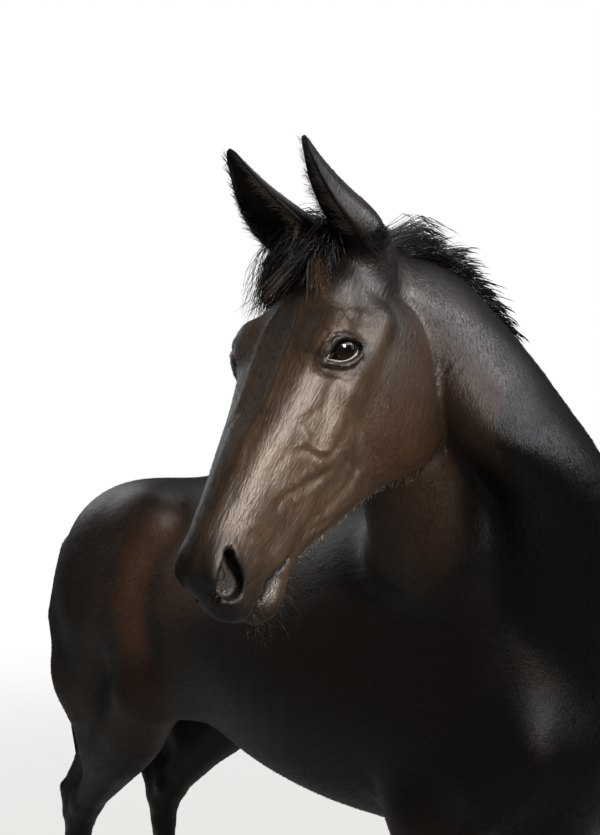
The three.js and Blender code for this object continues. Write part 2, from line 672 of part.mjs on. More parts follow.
// Ear: rings up its length, [share, half width, depth behind, depth in front].
const earAt = through([
  [-0.12, 18, 18, 18],
  [0, 36, 36, 24],
  [0.12, 46, 48, 26],
  [0.28, 50, 48, 19],
  [0.45, 47, 41, 12],
  [0.62, 38, 31, 8],
  [0.78, 27, 20, 6],
  [0.9, 15, 11, 4],
  [1, 3, 3, 2],
]);
const EAR_FOOT = -0.12; // the leaf starts this far down inside the head
const EAR_SPOKES = 10;
const EAR_RINGS = 10;
const CUP = { start: 0.16, end: 1.06, ahead: 0.95, rings: 8 }; // the scoop's span, and how far forward it lies
function earLeaf({ root, tip, open, bow }, grow, hollow) {
  const [from, to] = [inHead(...root), inHead(...tip)];
  const up = to.clone().sub(from).normalize();
  const front = V(...open).transformDirection(headFrame);
  front.addScaledVector(up, -front.dot(up)).normalize();
  const across = front.clone().cross(up);
  const ring = (t, shrink, push) => {
    const [, half, behind, ahead] = earAt(t);
    const centre = from.clone().lerp(to, t).addScaledVector(front, push + bow * Math.sin(Math.PI * t));
    return ringOf(EAR_SPOKES, (a) => {
      const depth = Math.sin(a) > 0 ? ahead : behind;
      const point = centre.clone().addScaledVector(across, Math.cos(a) * Math.max(half - shrink, 1));
      return point.addScaledVector(front, Math.sin(a) * Math.max(depth - shrink, 1));
    });
  };
  const leaf = solidOf(closedRings(steps(EAR_FOOT, 1, EAR_RINGS).map((t) => ring(t, -grow, 0))));
  if (!hollow) return leaf;
  const scoopRings = steps(CUP.start, CUP.end, CUP.rings).map((t) => ring(t, EAR_WALL, earAt(t)[3] * CUP.ahead));
  return leaf.subtract(solidOf(closedRings(scoopRings)));
}

// Legs, in rings from the ground up: [height, forward] of the line inside them.
const FORE_LINE = through([
  [40, 470],
  [92, 458],
  [122, 446],
  [215, 408],
  [238, 398],
  [290, 398],
  [460, 402],
  [500, 406],
  [545, 402],
  [640, 400],
  [840, 396],
  [1000, 390],
]);
const HIND_LINE = through([
  [40, -775],
  [92, -787],
  [122, -798],
  [216, -834],
  [240, -844],
  [290, -848],
  [520, -858],
  [560, -858],
  [600, -855],
  [650, -835],
  [700, -800],
  [760, -750],
  [830, -700],
  [900, -650],
  [1000, -610],
]);
// Ring heights, closer together round the joints.
const FORE_Z = [
  62, 92, 116, 150, 195, 220, 240, 266, 310,
  430, 468, 500, 532, 570, 640, 730, 820, 900, 960,
];
const HIND_Z = [
  62, 92, 116, 150, 195, 220, 240, 268, 315, 470,
  515, 560, 600, 640, 662, 690, 740, 800, 860, 920, 980,
];
// How far the line inside each leg lies from the midline at height z.
const foreSide = (z) => lerp(123, 155, ease((z - 250) / 700));
const hindSide = (z) => lerp(117, 165, ease((z - 550) / 400));

const FORE = {
  line: FORE_LINE,
  heights: FORE_Z,
  side: foreSide,
  hinge: ELBOW_Z,
  cell: foreBlock,
  joint: KNEE_CUT_Z,
  coronetX: CORONET_X.fore,
  names: ["forearm", "fore_cannon", "fore_hoof"],
};
const HIND = {
  line: HIND_LINE,
  heights: HIND_Z,
  side: hindSide,
  hinge: STIFLE_Z,
  cell: hindBlock,
  joint: HOCK_CUT_Z,
  coronetX: CORONET_X.hind,
  names: ["gaskin", "hind_cannon", "hind_hoof"],
};

function legSkin({ line, heights, side, hinge }, sign, step) {
  const frames = heights.map((z) => {
    const x = line(z)[1] + swing(step, z, hinge);
    return { centre: V(x, sign * side(z) + bend(x), z), first: V(1, 0, 0), second: V(0, 1, 0) };
  });
  return solidOf(skinAround(bodyField, frames, { spokes: 14, limit: 300 }));
}

// Hoof: an oval wall from the ground to the coronet, on a slope down to the heel.
const HOOF_SPOKES = 18;
const HOOF_LEVELS = [
  [0, -3], // worn edge of the sole
  [0.05, 0],
  [1, 0],
];
function hoof(x, y) {
  const rings = HOOF_LEVELS.map(([t, edge]) =>
    ringOf(HOOF_SPOKES, (a) => {
      const long = lerp(HOOF.soleLength, HOOF.topLength, t) + edge;
      const wide = lerp(HOOF.soleWidth, HOOF.topWidth, t) + edge;
      const ahead = lerp(HOOF.soleAhead, 0, t) + long * Math.cos(a);
      const across = Math.sin(a) * wide * (1 - HOOF.heel * Math.cos(a));
      return V(x + ahead, y + across, t * (HOOF.height + HOOF.slope * ahead));
    }),
  );
  return solidOf(closedRings(rings));
}

// A leg in three pieces: flesh above the knee or hock, flesh below it, and the hoof.
function addLeg(leg, side, step) {
  const sign = SIDES[side];
  const x = leg.coronetX + step;
  const y = sign * leg.side(HOOF.height) + bend(x);
  const up = V(0, 0, 1);
  const jointPoint = V(0, 0, leg.joint);
  const coronetSlope = V(-HOOF.slope, 0, 1);
  const coronetPoint = V(x, 0, HOOF.height + GAP / 2);
  const flesh = legSkin(leg, sign, step).intersect(leg.cell(sign, 0));
  const lower = keep(flesh, up.clone().negate(), jointPoint);
  add(`${leg.names[0]}_${side}`, keep(flesh, up, jointPoint), coat);
  add(`${leg.names[1]}_${side}`, keep(lower, coronetSlope, coronetPoint), coat);
  add(`${leg.names[2]}_${side}`, hoof(x, y), horn);
}

// Mane: a low crest of hair along the topline of the neck that falls to the right.
// [angle round the neck's line from its left, towards the crest; height of the hair there]
const MANE_SECTION = [
  [72, -8],
  [80, 24],
  [87, 56],
  [94, 72],
  [104, 62],
  [118, 38],
  [134, 24],
  [150, 16],
  [158, -8],
  [120, -16],
];
const MANE_FROM = 19; // the neck frame that it starts at, halfway up
const MANE_FULL = { from: 0.45, over: 0.15, least: 0.4 }; // it grows to its full height over this share
function mane() {
  const frames = neckFrames.slice(MANE_FROM, -1).filter((_, i) => i % 2 === 0);
  const rings = frames.map(({ centre, left, up, t }) => {
    const full = lerp(MANE_FULL.least, 1, ease((t - MANE_FULL.from) / MANE_FULL.over));
    return MANE_SECTION.map(([degrees, height]) => {
      const a = degToRad(degrees);
      const way = left.clone().multiplyScalar(Math.cos(a)).addScaledVector(up, Math.sin(a));
      const out = reach(horseField, centre, way, NECK_SKIN.limit);
      return centre.clone().addScaledVector(way, out + (height > 0 ? height * full : height));
    });
  });
  return solidOf(closedRings(rings));
}

// A lock of hair: oval rings, each with its centre, two ways across the lock and the half sizes on them.
function lock(stations, spokes) {
  const rings = stations.map(({ centre, across, out, half, thick }) =>
    ringOf(spokes, (a) => {
      const point = centre.clone().addScaledVector(across, half * Math.cos(a));
      return point.addScaledVector(out, thick * Math.sin(a));
    }),
  );
  return solidOf(closedRings(rings));
}

// [along the face, half width, half thickness, height of the lock's top over the skull]
const forelockAt = through([
  [-58, 20, 14, 28],
  [-30, 34, 22, 28],
  [5, 44, 20, 28],
  [50, 44, 16, 24],
  [95, 36, 12, 19],
  [130, 26, 9, 15],
  [165, 8, 5, 9],
]);
const FORELOCK_ENDS = [-58, 165];
const FORELOCK_SIDE = 4;
function forelock(grow) {
  const stations = steps(...FORELOCK_ENDS, 9).map((along) => {
    const [, half, thick, height] = forelockAt(along);
    const [, top] = skullAt(along);
    const centre = inHead(along, FORELOCK_SIDE, top + height - thick);
    return { centre, across: headLeft, out: headUp, half: half + grow, thick: thick + grow };
  });
  return lock(stations, 10);
}

// [share of its length, x, z, half width, half thickness]
const tailAt = through([
  [0, -872, 1412, 30, 26],
  [0.08, -918, 1398, 36, 32],
  [0.18, -962, 1330, 46, 36],
  [0.35, -985, 1180, 62, 42],
  [0.55, -992, 980, 74, 46],
  [0.75, -988, 790, 68, 42],
  [0.9, -980, 650, 44, 30],
  [1, -975, 560, 12, 10],
]);
const TAIL_Y = bend(-868) - 4;
const TAIL_SLOPE_STEP = 0.01; // the tail's way at a share is taken this far on each side of it
function tail() {
  const stations = steps(0, 1, 13).map((t) => {
    const [, x, z, half, thick] = tailAt(t);
    const [, x1, z1] = tailAt(t - TAIL_SLOPE_STEP);
    const [, x2, z2] = tailAt(t + TAIL_SLOPE_STEP);
    const ahead = V(x2 - x1, 0, z2 - z1).normalize();
    const across = V(0, 1, 0);
    return { centre: V(x, TAIL_Y, z), across, out: ahead.cross(across), half, thick };
  });
  return lock(stations, 12);
}

// ---------- the horse ----------

const trunkSolid = trunk();
const headSolid = head();
const neckSolid = largest(keep(neckSkin(0), SHOULDER.normal, SHOULDER.point).subtract(headCell(GAP)));

add("trunk", trunkSolid, coat);
add("neck", neckSolid, coat);
add("head", headSolid, coat);
add("eye_left", eyeBall(SIDES.left, 0), eyeGlass);
add("eye_right", eyeBall(SIDES.right, 0), eyeGlass);

// What each part of the coat keeps clear for itself, a little larger than it is.
const CLEAR = 2 * GAP;
const trunkKept = trunkSkin(CLEAR).add(trunkSolid);
const neckKept = neckSkin(CLEAR).add(neckSolid);
const headKept = headSkin(GAP).intersect(headCell(GAP));
const earsKept = earLeaf(EARS.left, GAP, false).add(earLeaf(EARS.right, GAP, false));

add("ear_left", earLeaf(EARS.left, 0, true).subtract(headKept), coat);
add("ear_right", earLeaf(EARS.right, 0, true).subtract(headKept), coat);
const clearOfMane = trunkKept.add(neckKept).add(headKept).add(earsKept).add(forelock(GAP));
add("mane", largest(mane().subtract(clearOfMane)), hair);
add("forelock", largest(forelock(0).subtract(headKept).subtract(earsKept)), hair);
add("tail", largest(tail().subtract(trunkKept)), hair);

addLeg(FORE, "left", STEP.foreLeft);
addLeg(FORE, "right", STEP.foreRight);
addLeg(HIND, "left", STEP.hindLeft);
addLeg(HIND, "right", STEP.hindRight);

// The origin is on the ground, under the middle of the whole horse.
const middle = new THREE.Box3().setFromObject(horse).getCenter(V(0, 0, 0));
horse.position.set(-middle.x, -middle.y, 0);

export default horse;
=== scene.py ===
# %% [markdown]
# # A dark bay riding horse, life size
#
# The horse stands still with its neck raised and looks back over its right shoulder. A solid frame gives the
# place and size of every part, and here it gets its looks.
#
# The skin could be sculpted by hand or built from boxes under a subdivision surface. Neither can be read back
# as sizes, so it is made as a field: a function that is negative inside the flesh. Round masses are blended
# into each other the way muscles are, and the surface where the field is zero is drawn as one mesh.

# %% The solid frame
from functools import partial
from math import cos, pi, radians, sin

import bmesh
import bpy
import numpy as np
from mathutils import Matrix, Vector
from numpy.linalg import norm


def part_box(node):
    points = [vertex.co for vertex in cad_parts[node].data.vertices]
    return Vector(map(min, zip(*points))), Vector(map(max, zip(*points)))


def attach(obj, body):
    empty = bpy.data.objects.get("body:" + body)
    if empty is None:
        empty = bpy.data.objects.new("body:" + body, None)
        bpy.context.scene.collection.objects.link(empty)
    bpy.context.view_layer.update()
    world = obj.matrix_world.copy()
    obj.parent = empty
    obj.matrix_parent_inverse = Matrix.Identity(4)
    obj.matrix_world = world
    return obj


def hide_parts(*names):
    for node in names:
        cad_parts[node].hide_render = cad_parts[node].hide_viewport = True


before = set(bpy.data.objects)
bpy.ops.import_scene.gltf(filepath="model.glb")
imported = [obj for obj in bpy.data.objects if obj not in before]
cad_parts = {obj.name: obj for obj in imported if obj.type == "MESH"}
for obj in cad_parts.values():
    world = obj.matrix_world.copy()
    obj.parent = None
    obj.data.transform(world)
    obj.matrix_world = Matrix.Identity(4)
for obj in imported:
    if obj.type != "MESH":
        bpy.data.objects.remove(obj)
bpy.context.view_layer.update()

# %% [markdown]
# ## Driving sizes
#
# The field is worked out in millimetres, with X the way the trunk faces, Y to the horse's left and Z up. A
# few sizes drive the rest: where the poll is, how the head is turned, and where each foot stands. The
# frame's origin lies under the middle of its box; the shift comes from the left eye's box.

# %% Driving sizes
POLL = np.array([446.0, -490.0, 1980.0])  # top of the head between the ears
HEAD_TURN = radians(-77)  # the face's heading, from +X towards -Y
HEAD_DROP = radians(53)  # how far the face slopes down from level
HEAD_TILT = radians(5.7)  # the left side of the face is this much higher
EYE = np.array([197.0, 76.0, -46.0])  # along the face, to its side and up from it
COAT_DEPTH = 1.5  # the skin lies this far inside the solids

faceward = np.array([cos(HEAD_DROP) * cos(HEAD_TURN), cos(HEAD_DROP) * sin(HEAD_TURN), -sin(HEAD_DROP)])
level_left = np.array([-sin(HEAD_TURN), cos(HEAD_TURN), 0.0])
level_up = np.cross(faceward, level_left)
head_left = level_left * cos(HEAD_TILT) + level_up * sin(HEAD_TILT)
head_up = np.cross(faceward, head_left)
HEAD_AXES = np.array([faceward, head_left, head_up])


def from_head(points):
    """Points given along, beside and above the face, in the horse's frame."""
    return POLL + np.asarray(points, float) @ HEAD_AXES


def to_head(points):
    return (np.asarray(points, float) - POLL) @ HEAD_AXES.T


eye_low, eye_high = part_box("eye_left")
SHIFT = 500 * np.array(eye_low + eye_high) - from_head(EYE)
SHIFT[2] = 0


def metres(points):
    return (np.asarray(points, float) + SHIFT) / 1000


def millimetres(points):
    return np.asarray(points, float) * 1000 - SHIFT


print("shift of the frame's origin, mm:", SHIFT.round(2))

# %% [markdown]
# ## The camera
#
# A portrait of the head: the camera stands as high as the withers, looks level, and sees the left cheek.

# %% Camera
CAMERA_AT = np.array([1540.0, -1530.0, 1700.0])
CAMERA_WAY = Vector((-0.743, 0.669, 0))
FOCAL_SHARE = 950 / 835  # focal length as a share of the picture's long side
camera = bpy.data.objects.new("camera", bpy.data.cameras.new("camera"))
bpy.context.scene.collection.objects.link(camera)
camera.data.lens = FOCAL_SHARE * camera.data.sensor_width
camera.location = metres(CAMERA_AT)
camera.rotation_euler = CAMERA_WAY.to_track_quat("-Z", "Y").to_euler()
bpy.context.scene.camera = camera
print("camera at", camera.location)

# %% [markdown]
# ## Fields
#
# Each mass of flesh is a function of place that is negative inside. A limb is a row of round cones, an oval
# is a stretched ball, and a sweep has a rounded section that changes along its length. smooth_min joins two
# of them with a fillet, as skin does where two muscles meet.

# %% Blends and lines
def packed(*values):
    """Columns beside each other in one array; a single number fills its column."""
    return np.stack(np.broadcast_arrays(*values), -1)


def lerp(a, b, t):
    return a + (b - a) * t


def ease(t):
    s = np.clip(t, 0, 1)
    return s * s * (3 - 2 * s)


def smooth_min(a, b, k):
    h = np.maximum(k - np.abs(a - b), 0) / k
    return np.minimum(a, b) - h * h * k / 4


def smooth_max(a, b, k):
    return -smooth_min(-a, -b, k)


def through(stations):
    """A smooth line through stations of [place, value, value, ...]; it gives a column for each value."""
    table = np.array(stations, float)
    at, values = table[:, 0], table[:, 1:]
    before = np.maximum(np.arange(len(at)) - 1, 0)
    after = np.minimum(np.arange(len(at)) + 1, len(at) - 1)
    slopes = (values[after] - values[before]) / (at[after] - at[before])[:, None]

    def line(place):
        x = np.clip(place, at[0], at[-1])
        i = np.clip(np.searchsorted(at, x) - 1, 0, len(at) - 2)
        span = at[i + 1] - at[i]
        t = (x - at[i]) / span
        a, b = (2 * t**3 - 3 * t**2 + 1), (3 * t**2 - 2 * t**3)
        c, d = (t**3 - 2 * t**2 + t) * span, (t**3 - t**2) * span
        return [values[i, k] * a + values[i + 1, k] * b + slopes[i, k] * c + slopes[i + 1, k] * d
                for k in range(values.shape[1])]

    return line


# %% Masses
def limb(*points):
    """A limb through points [x, y, z, radius]."""

    def field(x, y, z):
        nearest = np.full(np.shape(x), np.inf)
        for a, b in zip(points[:-1], points[1:]):
            a, b = np.array(a, float), np.array(b, float)
            way = (b - a)[:3]
            px, py, pz = x - a[0], y - a[1], z - a[2]
            t = np.clip((px * way[0] + py * way[1] + pz * way[2]) / (way @ way), 0, 1)
            gap = np.sqrt((px - t * way[0]) ** 2 + (py - t * way[1]) ** 2 + (pz - t * way[2]) ** 2)
            nearest = np.minimum(nearest, gap - lerp(a[3], b[3], t))
        return nearest

    return field


def oval(centre, half, pitch=0, turn=0):
    """An oval with three half sizes, pitched nose-down about Y and then turned left about Z, in degrees."""
    cp, sp, ct, st = cos(radians(pitch)), sin(radians(pitch)), cos(radians(turn)), sin(radians(turn))

    def field(x, y, z):
        px, py, pz = x - centre[0], y - centre[1], z - centre[2]
        forward = px * ct + py * st
        side = (py * ct - px * st) / half[1]
        along = (forward * cp - pz * sp) / half[0]
        high = (forward * sp + pz * cp) / half[2]
        q = np.sqrt(along**2 + side**2 + high**2)
        g = np.sqrt((along / half[0]) ** 2 + (side / half[1]) ** 2 + (high / half[2]) ** 2)
        return np.where(g > 1e-9, q * (q - 1) / np.maximum(g, 1e-9), -min(half))

    return field


def section(side, high, width, up, down, top_power, bottom_power):
    """Distance past a rounded section with a half width and heights up and down from its widest level."""
    power = np.where(high > 0, top_power, bottom_power)
    tall = np.where(high > 0, up, down)
    q = (np.abs(side / width) ** power + np.abs(high / tall) ** power) ** (1 / power)
    core = -np.minimum(np.minimum(width, up), down)
    r = np.hypot(side, high)
    return np.where(q > 1e-6, np.maximum(r * (1 - 1 / np.maximum(q, 1e-6)), core), core)


def sweep(stations, low, high):
    """A sweep along X from low to high, with a section at each station."""
    at = through(stations)

    def field(x, y, z):
        top, bottom, half, level, above, below = at(x)
        d = section(y, z - level, half, top - level, level - bottom, above, below)
        past = np.maximum(np.maximum(low - x, x - high), 0)
        return np.where(past > 0, np.hypot(np.maximum(d, 0), past), d)

    return field


def joined(flesh):
    def field(x, y, z):
        d = np.full(np.shape(x), np.inf)
        for mass, blend in flesh:
            d = smooth_min(d, mass(x, y, z), blend)
        return d

    return field


# %% [markdown]
# ## Trunk and legs
#
# The barrel is a sweep from the buttock to the breast, with the muscles of shoulder, arm, thigh and hip over
# it. A leg is modelled once, on the left in a square stance, and each of the four is a copy that is mirrored
# and swung by its own step.

# %% Trunk
# [x, top, bottom, half width, widest level, power above, power below]
BARREL = [
    [-935, 1345, 1285, 40, 1315, 2, 2],  # point of the buttock
    [-905, 1392, 1180, 105, 1290, 2, 2],
    [-850, 1428, 1110, 158, 1270, 2, 2],
    [-760, 1470, 1060, 212, 1262, 2, 2],  # tail head
    [-640, 1514, 1015, 248, 1270, 2.1, 2],
    [-500, 1544, 985, 262, 1285, 2.1, 2],  # croup
    [-380, 1550, 955, 258, 1270, 2.1, 2],
    [-250, 1530, 905, 268, 1225, 2.2, 2.1],  # loin and flank
    [-100, 1508, 872, 290, 1190, 2.15, 2.1],  # back and belly
    [60, 1516, 858, 292, 1175, 2, 2.1],
    [200, 1562, 858, 272, 1160, 1.95, 2],
    [330, 1598, 866, 240, 1150, 1.75, 1.9],  # withers and girth
    [440, 1562, 882, 214, 1140, 1.75, 1.85],
    [550, 1450, 905, 192, 1130, 1.8, 1.85],
    [630, 1300, 950, 158, 1120, 2, 1.9],  # breast
    [680, 1205, 1020, 90, 1112, 2, 2],
    [700, 1150, 1075, 30, 1110, 2, 2],
]
trunk_field = joined([
    (sweep(BARREL, -935, 700), 1),
    (limb([300, 0, 1545, 50], [395, 4, 1600, 48], [465, 8, 1655, 38]), 90),  # topline into the neck
    (oval([405, 122, 1330], [92, 66, 240], -32), 80),  # shoulder blade and its muscles
    (limb([285, 55, 1520, 46], [325, 88, 1430, 58]), 80),  # top of the shoulder blade
    (limb([602, 140, 1130, 56], [510, 158, 1045, 70], [405, 164, 975, 66]), 70),  # upper arm
    (oval([335, 160, 1130], [135, 66, 160], -25), 70),  # triceps
    (oval([612, 70, 1090], [74, 72, 108], 12), 34),  # breast muscle
    (oval([560, 78, 985], [85, 62, 66]), 40),  # lower breast
    (oval([-455, 198, 1440], [80, 52, 78], 20), 60),  # point of the hip
    (oval([-600, 128, 1418], [190, 112, 112], -14), 70),  # gluteal muscle
    (oval([-640, 150, 1215], [215, 108, 215], 8), 70),  # thigh
    (limb([-868, 92, 1318, 62], [-852, 116, 1150, 84], [-800, 130, 990, 80]), 60),  # hamstring
    (oval([-685, 146, 1010], [138, 82, 140]), 60),  # lower thigh
    (limb([-480, 190, 1330, 58], [-468, 186, 1050, 74]), 60),  # front of the thigh
    (oval([-345, 190, 1060], [120, 44, 80], -24), 70),  # flank fold
    (limb([-795, 0, 1440, 42], [-880, 0, 1395, 30]), 30),  # root of the tail
])

# %% Legs
fore_leg_field = joined([
    (limb([392, 160, 960, 88], [398, 150, 850, 72], [402, 138, 640, 46], [406, 131, 545, 39]), 30),
    (oval([428, 158, 845], [46, 42, 125], -4), 25),  # extensor
    (oval([362, 150, 850], [48, 44, 118], 4), 25),  # flexor
    (oval([408, 128, 500], [41, 45, 62]), 28),  # knee
    (limb([376, 128, 528, 15], [382, 128, 500, 17]), 20),
    (limb([408, 126, 460, 26], [404, 124, 290, 23]), 24),  # cannon bone
    (limb([378, 126, 495, 18], [376, 124, 270, 15]), 12),  # tendons
    (oval([400, 123, 238], [39, 36, 40]), 30),  # fetlock
    (oval([374, 123, 226], [25, 27, 28]), 20),
    (limb([408, 123, 215, 30], [448, 122, 122, 33]), 26),  # pastern
    (oval([458, 122, 92], [54, 52, 22], 24), 26),  # coronet
])
hind_leg_field = joined([
    (limb([-478, 178, 1000, 84], [-560, 160, 900, 84], [-665, 138, 780, 64], [-800, 120, 640, 40]), 50),
    (oval([-446, 186, 1005], [40, 36, 48]), 30),  # stifle
    (limb([-800, 132, 1010, 76], [-752, 138, 900, 66], [-745, 136, 800, 44]), 50),
    (oval([-612, 158, 862], [92, 56, 128], 48), 36),  # gaskin
    (limb([-752, 134, 850, 34], [-842, 122, 730, 19], [-896, 116, 655, 17]), 26),  # hamstring tendon
    (oval([-785, 125, 738], [42, 16, 112], 42), 20),  # hollow of the gaskin
    (limb([-895, 116, 650, 22], [-878, 116, 590, 26]), 26),  # point of the hock
    (limb([-812, 118, 628, 42], [-838, 115, 575, 40], [-850, 115, 525, 31]), 30),  # hock
    (oval([-850, 117, 664], [38, 18, 48]), 18),  # skin over the hollow in front of the tendon
    (limb([-850, 115, 520, 29], [-842, 117, 290, 25]), 24),  # cannon bone
    (limb([-880, 115, 590, 21], [-878, 115, 500, 18], [-872, 117, 275, 16]), 12),  # tendons
    (oval([-840, 118, 240], [41, 38, 42]), 30),  # fetlock
    (oval([-868, 118, 228], [26, 28, 29]), 20),
    (limb([-832, 118, 216, 31], [-796, 118, 122, 34]), 26),  # pastern
    (oval([-786, 118, 92], [54, 52, 22], 24), 26),  # coronet
])

ELBOW_Z, STIFLE_Z, PASTERN_Z = 925, 950, 130
STEP = {"fore_left": -35, "fore_right": 45, "hind_left": 110, "hind_right": -25}
BEND_START_X, BEND_END_X, BEND_SLOPE = 100, -430, 0.13


def bend(x):
    """The trunk's curve to the right behind the girth, as a sideways shift."""
    t = np.maximum(BEND_START_X - x, 0)
    span = BEND_START_X - BEND_END_X
    return np.where(t < span, -BEND_SLOPE * t * t / (2 * span), -BEND_SLOPE * (t - span / 2))


def swing(step, z, hinge):
    return step * np.clip((hinge - z) / (hinge - PASTERN_Z), 0, 1)


def body_field(x, y, z):
    straight = y - bend(x)
    left, side = straight > 0, np.abs(straight)
    d = trunk_field(x, side, z)
    fore = (x > 150) & (x < 720) & (z < 1100)
    hind = (x < -250) & (z < 1150)
    for mask, leg, steps, hinge, blend in (
        (fore, fore_leg_field, ("fore_left", "fore_right"), ELBOW_Z, 45),
        (hind, hind_leg_field, ("hind_left", "hind_right"), STIFLE_Z, 50),
    ):
        step = np.where(left[mask], STEP[steps[0]], STEP[steps[1]])
        moved = x[mask] - swing(step, z[mask], hinge)
        d[mask] = smooth_min(d[mask], leg(moved, side[mask], z[mask]), blend)
    return d


# %% [markdown]
# ## The head
#
# The head has its own frame: along the face from the poll, to its left, and up from it. Skull and lower jaw
# are sweeps, with cheek, brow, crest, nostrils, lips and chin on them. The temple, the eye's opening, the
# nostrils and the mouth are cut with the same soft blend.

# %% Skull and jaw
# [along, top, bottom, half width, widest level, power above, power below]
SKULL = [
    [-45, -75, -120, 30, -98, 2, 2],
    [-15, -30, -150, 56, -90, 2, 2],
    [30, -6, -172, 74, -88, 2.1, 2],
    [90, 6, -182, 86, -84, 2.2, 2],
    [145, 12, -182, 95, -80, 2.5, 2.1],  # forehead
    [200, 10, -174, 97, -84, 2.9, 2.2],
    [260, 4, -164, 89, -92, 3.1, 2.2],
    [320, -1, -156, 78, -94, 2.9, 2.2],  # nasal bones
    [380, -3, -150, 67, -88, 2.7, 2.2],
    [440, -5, -146, 57, -84, 2.5, 2.2],
    [500, -8, -144, 49, -80, 2.3, 2.2],
    [545, -13, -148, 47, -80, 2.2, 2.3],  # muzzle
    [575, -24, -150, 42, -84, 2.1, 2.3],
    [592, -42, -145, 33, -92, 2, 2.1],
    [600, -64, -132, 22, -98, 2, 2],
    [604, -88, -110, 8, -99, 2, 2],
]
JAW = [
    [-8, -140, -200, 30, -170, 2, 2],
    [8, -110, -262, 62, -180, 2.4, 2.6],
    [32, -90, -338, 77, -200, 2.8, 3.4],
    [61, -80, -368, 81, -212, 3, 3.9],  # angle of the jaw
    [106, -80, -381, 82, -218, 3, 4],
    [154, -85, -378, 80, -222, 2.9, 3.9],
    [205, -92, -358, 75, -220, 2.8, 3.6],
    [268, -100, -308, 65, -206, 2.5, 3],
    [322, -110, -272, 56, -192, 2.4, 2.6],
    [380, -116, -240, 48, -176, 2.3, 2.4],
    [440, -122, -206, 41, -162, 2.1, 2.2],
    [480, -130, -188, 37, -158, 2.1, 2.1],
    [515, -136, -190, 37, -163, 2.1, 2.1],
    [545, -138, -195, 37, -168, 2.1, 2.1],  # chin
    [567, -142, -186, 29, -166, 2, 2],
    [583, -150, -174, 12, -162, 2, 2],
]

# %% Small frames
def axes_from(out, along, towards):
    """Three axes: one along, one across it that points towards the numbered axis, and one out."""
    out = np.array(out) / norm(out)
    along = np.array(along, float)
    along = along - out * (along @ out)
    along = along / norm(along)
    across = np.cross(along, out)
    return np.array([along, across * np.sign(across[towards]), out])


def seen_from(middle, axes, along, side, up):
    """Places on the head, given in the axes round a middle."""
    p = [along - middle[0], side - middle[1], up - middle[2]]
    return [p[0] * a[0] + p[1] * a[1] + p[2] * a[2] for a in axes]


# %% Eye frame and lids
# The eye looks out and a little forward. Its axes: towards the nose along the lids' slit, up across it, out.
LID_BALL = 33.5  # radius of the flesh over the eyeball
EYE_AXES = axes_from([0.362, 0.905, 0.221], [50, -35, 36], towards=2)

# The lids' slit: [towards the nose, upper lid, lower lid]
lid_slit = through([
    [-31, -4, -5.5],
    [-25, 1, -8.5],
    [-16, 7.5, -11.5],
    [-4, 13.5, -14],
    [8, 17, -15],
    [18, 16, -12.5],
    [26, 10, -8],
    [32, 4.5, -5],
    [38, -1, -3.5],
])
SLIT_ENDS = -31, 38


def at_eye(along, side, up):
    return seen_from(EYE, EYE_AXES, along, side, up)


def slit_field(nose, up):
    """Negative between the lids, positive on them, about in millimetres."""
    upper, lower = lid_slit(nose)
    ends = np.maximum(nose - SLIT_ENDS[1], SLIT_ENDS[0] - nose)
    return np.maximum(np.maximum(up - upper, lower - up), ends)


def lids_opening(along, side, up):
    nose, high, out = at_eye(along, side, up)
    floor = lerp(6, 21, ease((nose - 24) / 12))  # the corner by the nose is shallow
    return np.maximum(slit_field(nose, high), floor - out)


# %% Head field
NOSTRIL = np.array([568.0, 47.0, -59.0])
NOSTRIL_AXES = axes_from([0.30, 0.90, 0.30], [0.6, 0.0, -0.8], towards=0)  # down, to the front, out


def at_nostril(along, side, up):
    return seen_from(NOSTRIL, NOSTRIL_AXES, along, side, up)


def nostril_hole(down, front):
    """Outline of the nostril, a comma: round below, with a narrow tail that runs up and back."""
    bowl = oval([10, 3, 0], [23, 19, 60])(down, front, 0 * down)
    tail = limb([-8, 0, 0, 12], [-26, -5, 0, 6])(down, front, 0 * down)
    return smooth_min(bowl, tail, 12)


def nostril_cavity(along, side, up):
    down, front, out = at_nostril(along, side, up)
    hole = smooth_max(nostril_hole(down, front), -30 - out, 10)
    fold = oval([-6, 15, -9], [20, 10, 7])(down, front, out)
    return smooth_max(hole, -fold, 3)


MOUTH_LINE = [[486, -153], [507, -146], [530, -142], [560, -143], [580, -147], [600, -152]]  # [along, up]


def mouth_slit(along, side, up):
    level, = through(MOUTH_LINE)(along)
    inner = np.interp(along, [480, 500, 560, 590], [24, 14, 10, 4])
    slit = np.maximum(np.abs(up - level) - 0.9, inner - side)
    return np.maximum(slit, 486 - along)


HEAD_FLESH = [
    (sweep(SKULL, -45, 604), 1),
    (sweep(JAW, -8, 583), 18),
    (oval([128, 60, -205], [125, 33, 150], -8), 16),  # cheek muscle
    (oval([196, 80, -18], [50, 30, 26], 10), 30),  # brow
    (limb([244, 85, -82, 12], [178, 93, -88, 13], [100, 82, -98, 17]), 34),  # cheek bone
    (limb([244, 85, -86, 10], [300, 75, -97, 9], [348, 63, -102, 7]), 32),  # facial crest
    (limb([290, 56, -140, 24], [400, 37, -130, 23], [500, 28, -128, 20]), 20),  # wall of the mouth
    (oval([556, 28, -52], [38, 18, 27], 8, 6), 14),  # wing of the nostril
    (oval([586, 0, -112], [22, 36, 30]), 14),  # upper lip
    (oval([546, 0, -170], [34, 28, 25]), 14),  # chin
    (limb([-14, 50, -52, 26], [-34, 48, -80, 26]), 36),  # base of the ear
    (oval(EYE, [LID_BALL] * 3), 14),  # lids over the eyeball
]
HEAD_HOLLOWS = [
    (oval([122, 84, -24], [30, 11, 20], 0, 8), 24),  # above the eye
    (oval([190, 0, -350], [170, 28, 50], -20), 30),  # between the jaws
    (lids_opening, 3),
    (nostril_cavity, 5),
    (mouth_slit, 4),
]
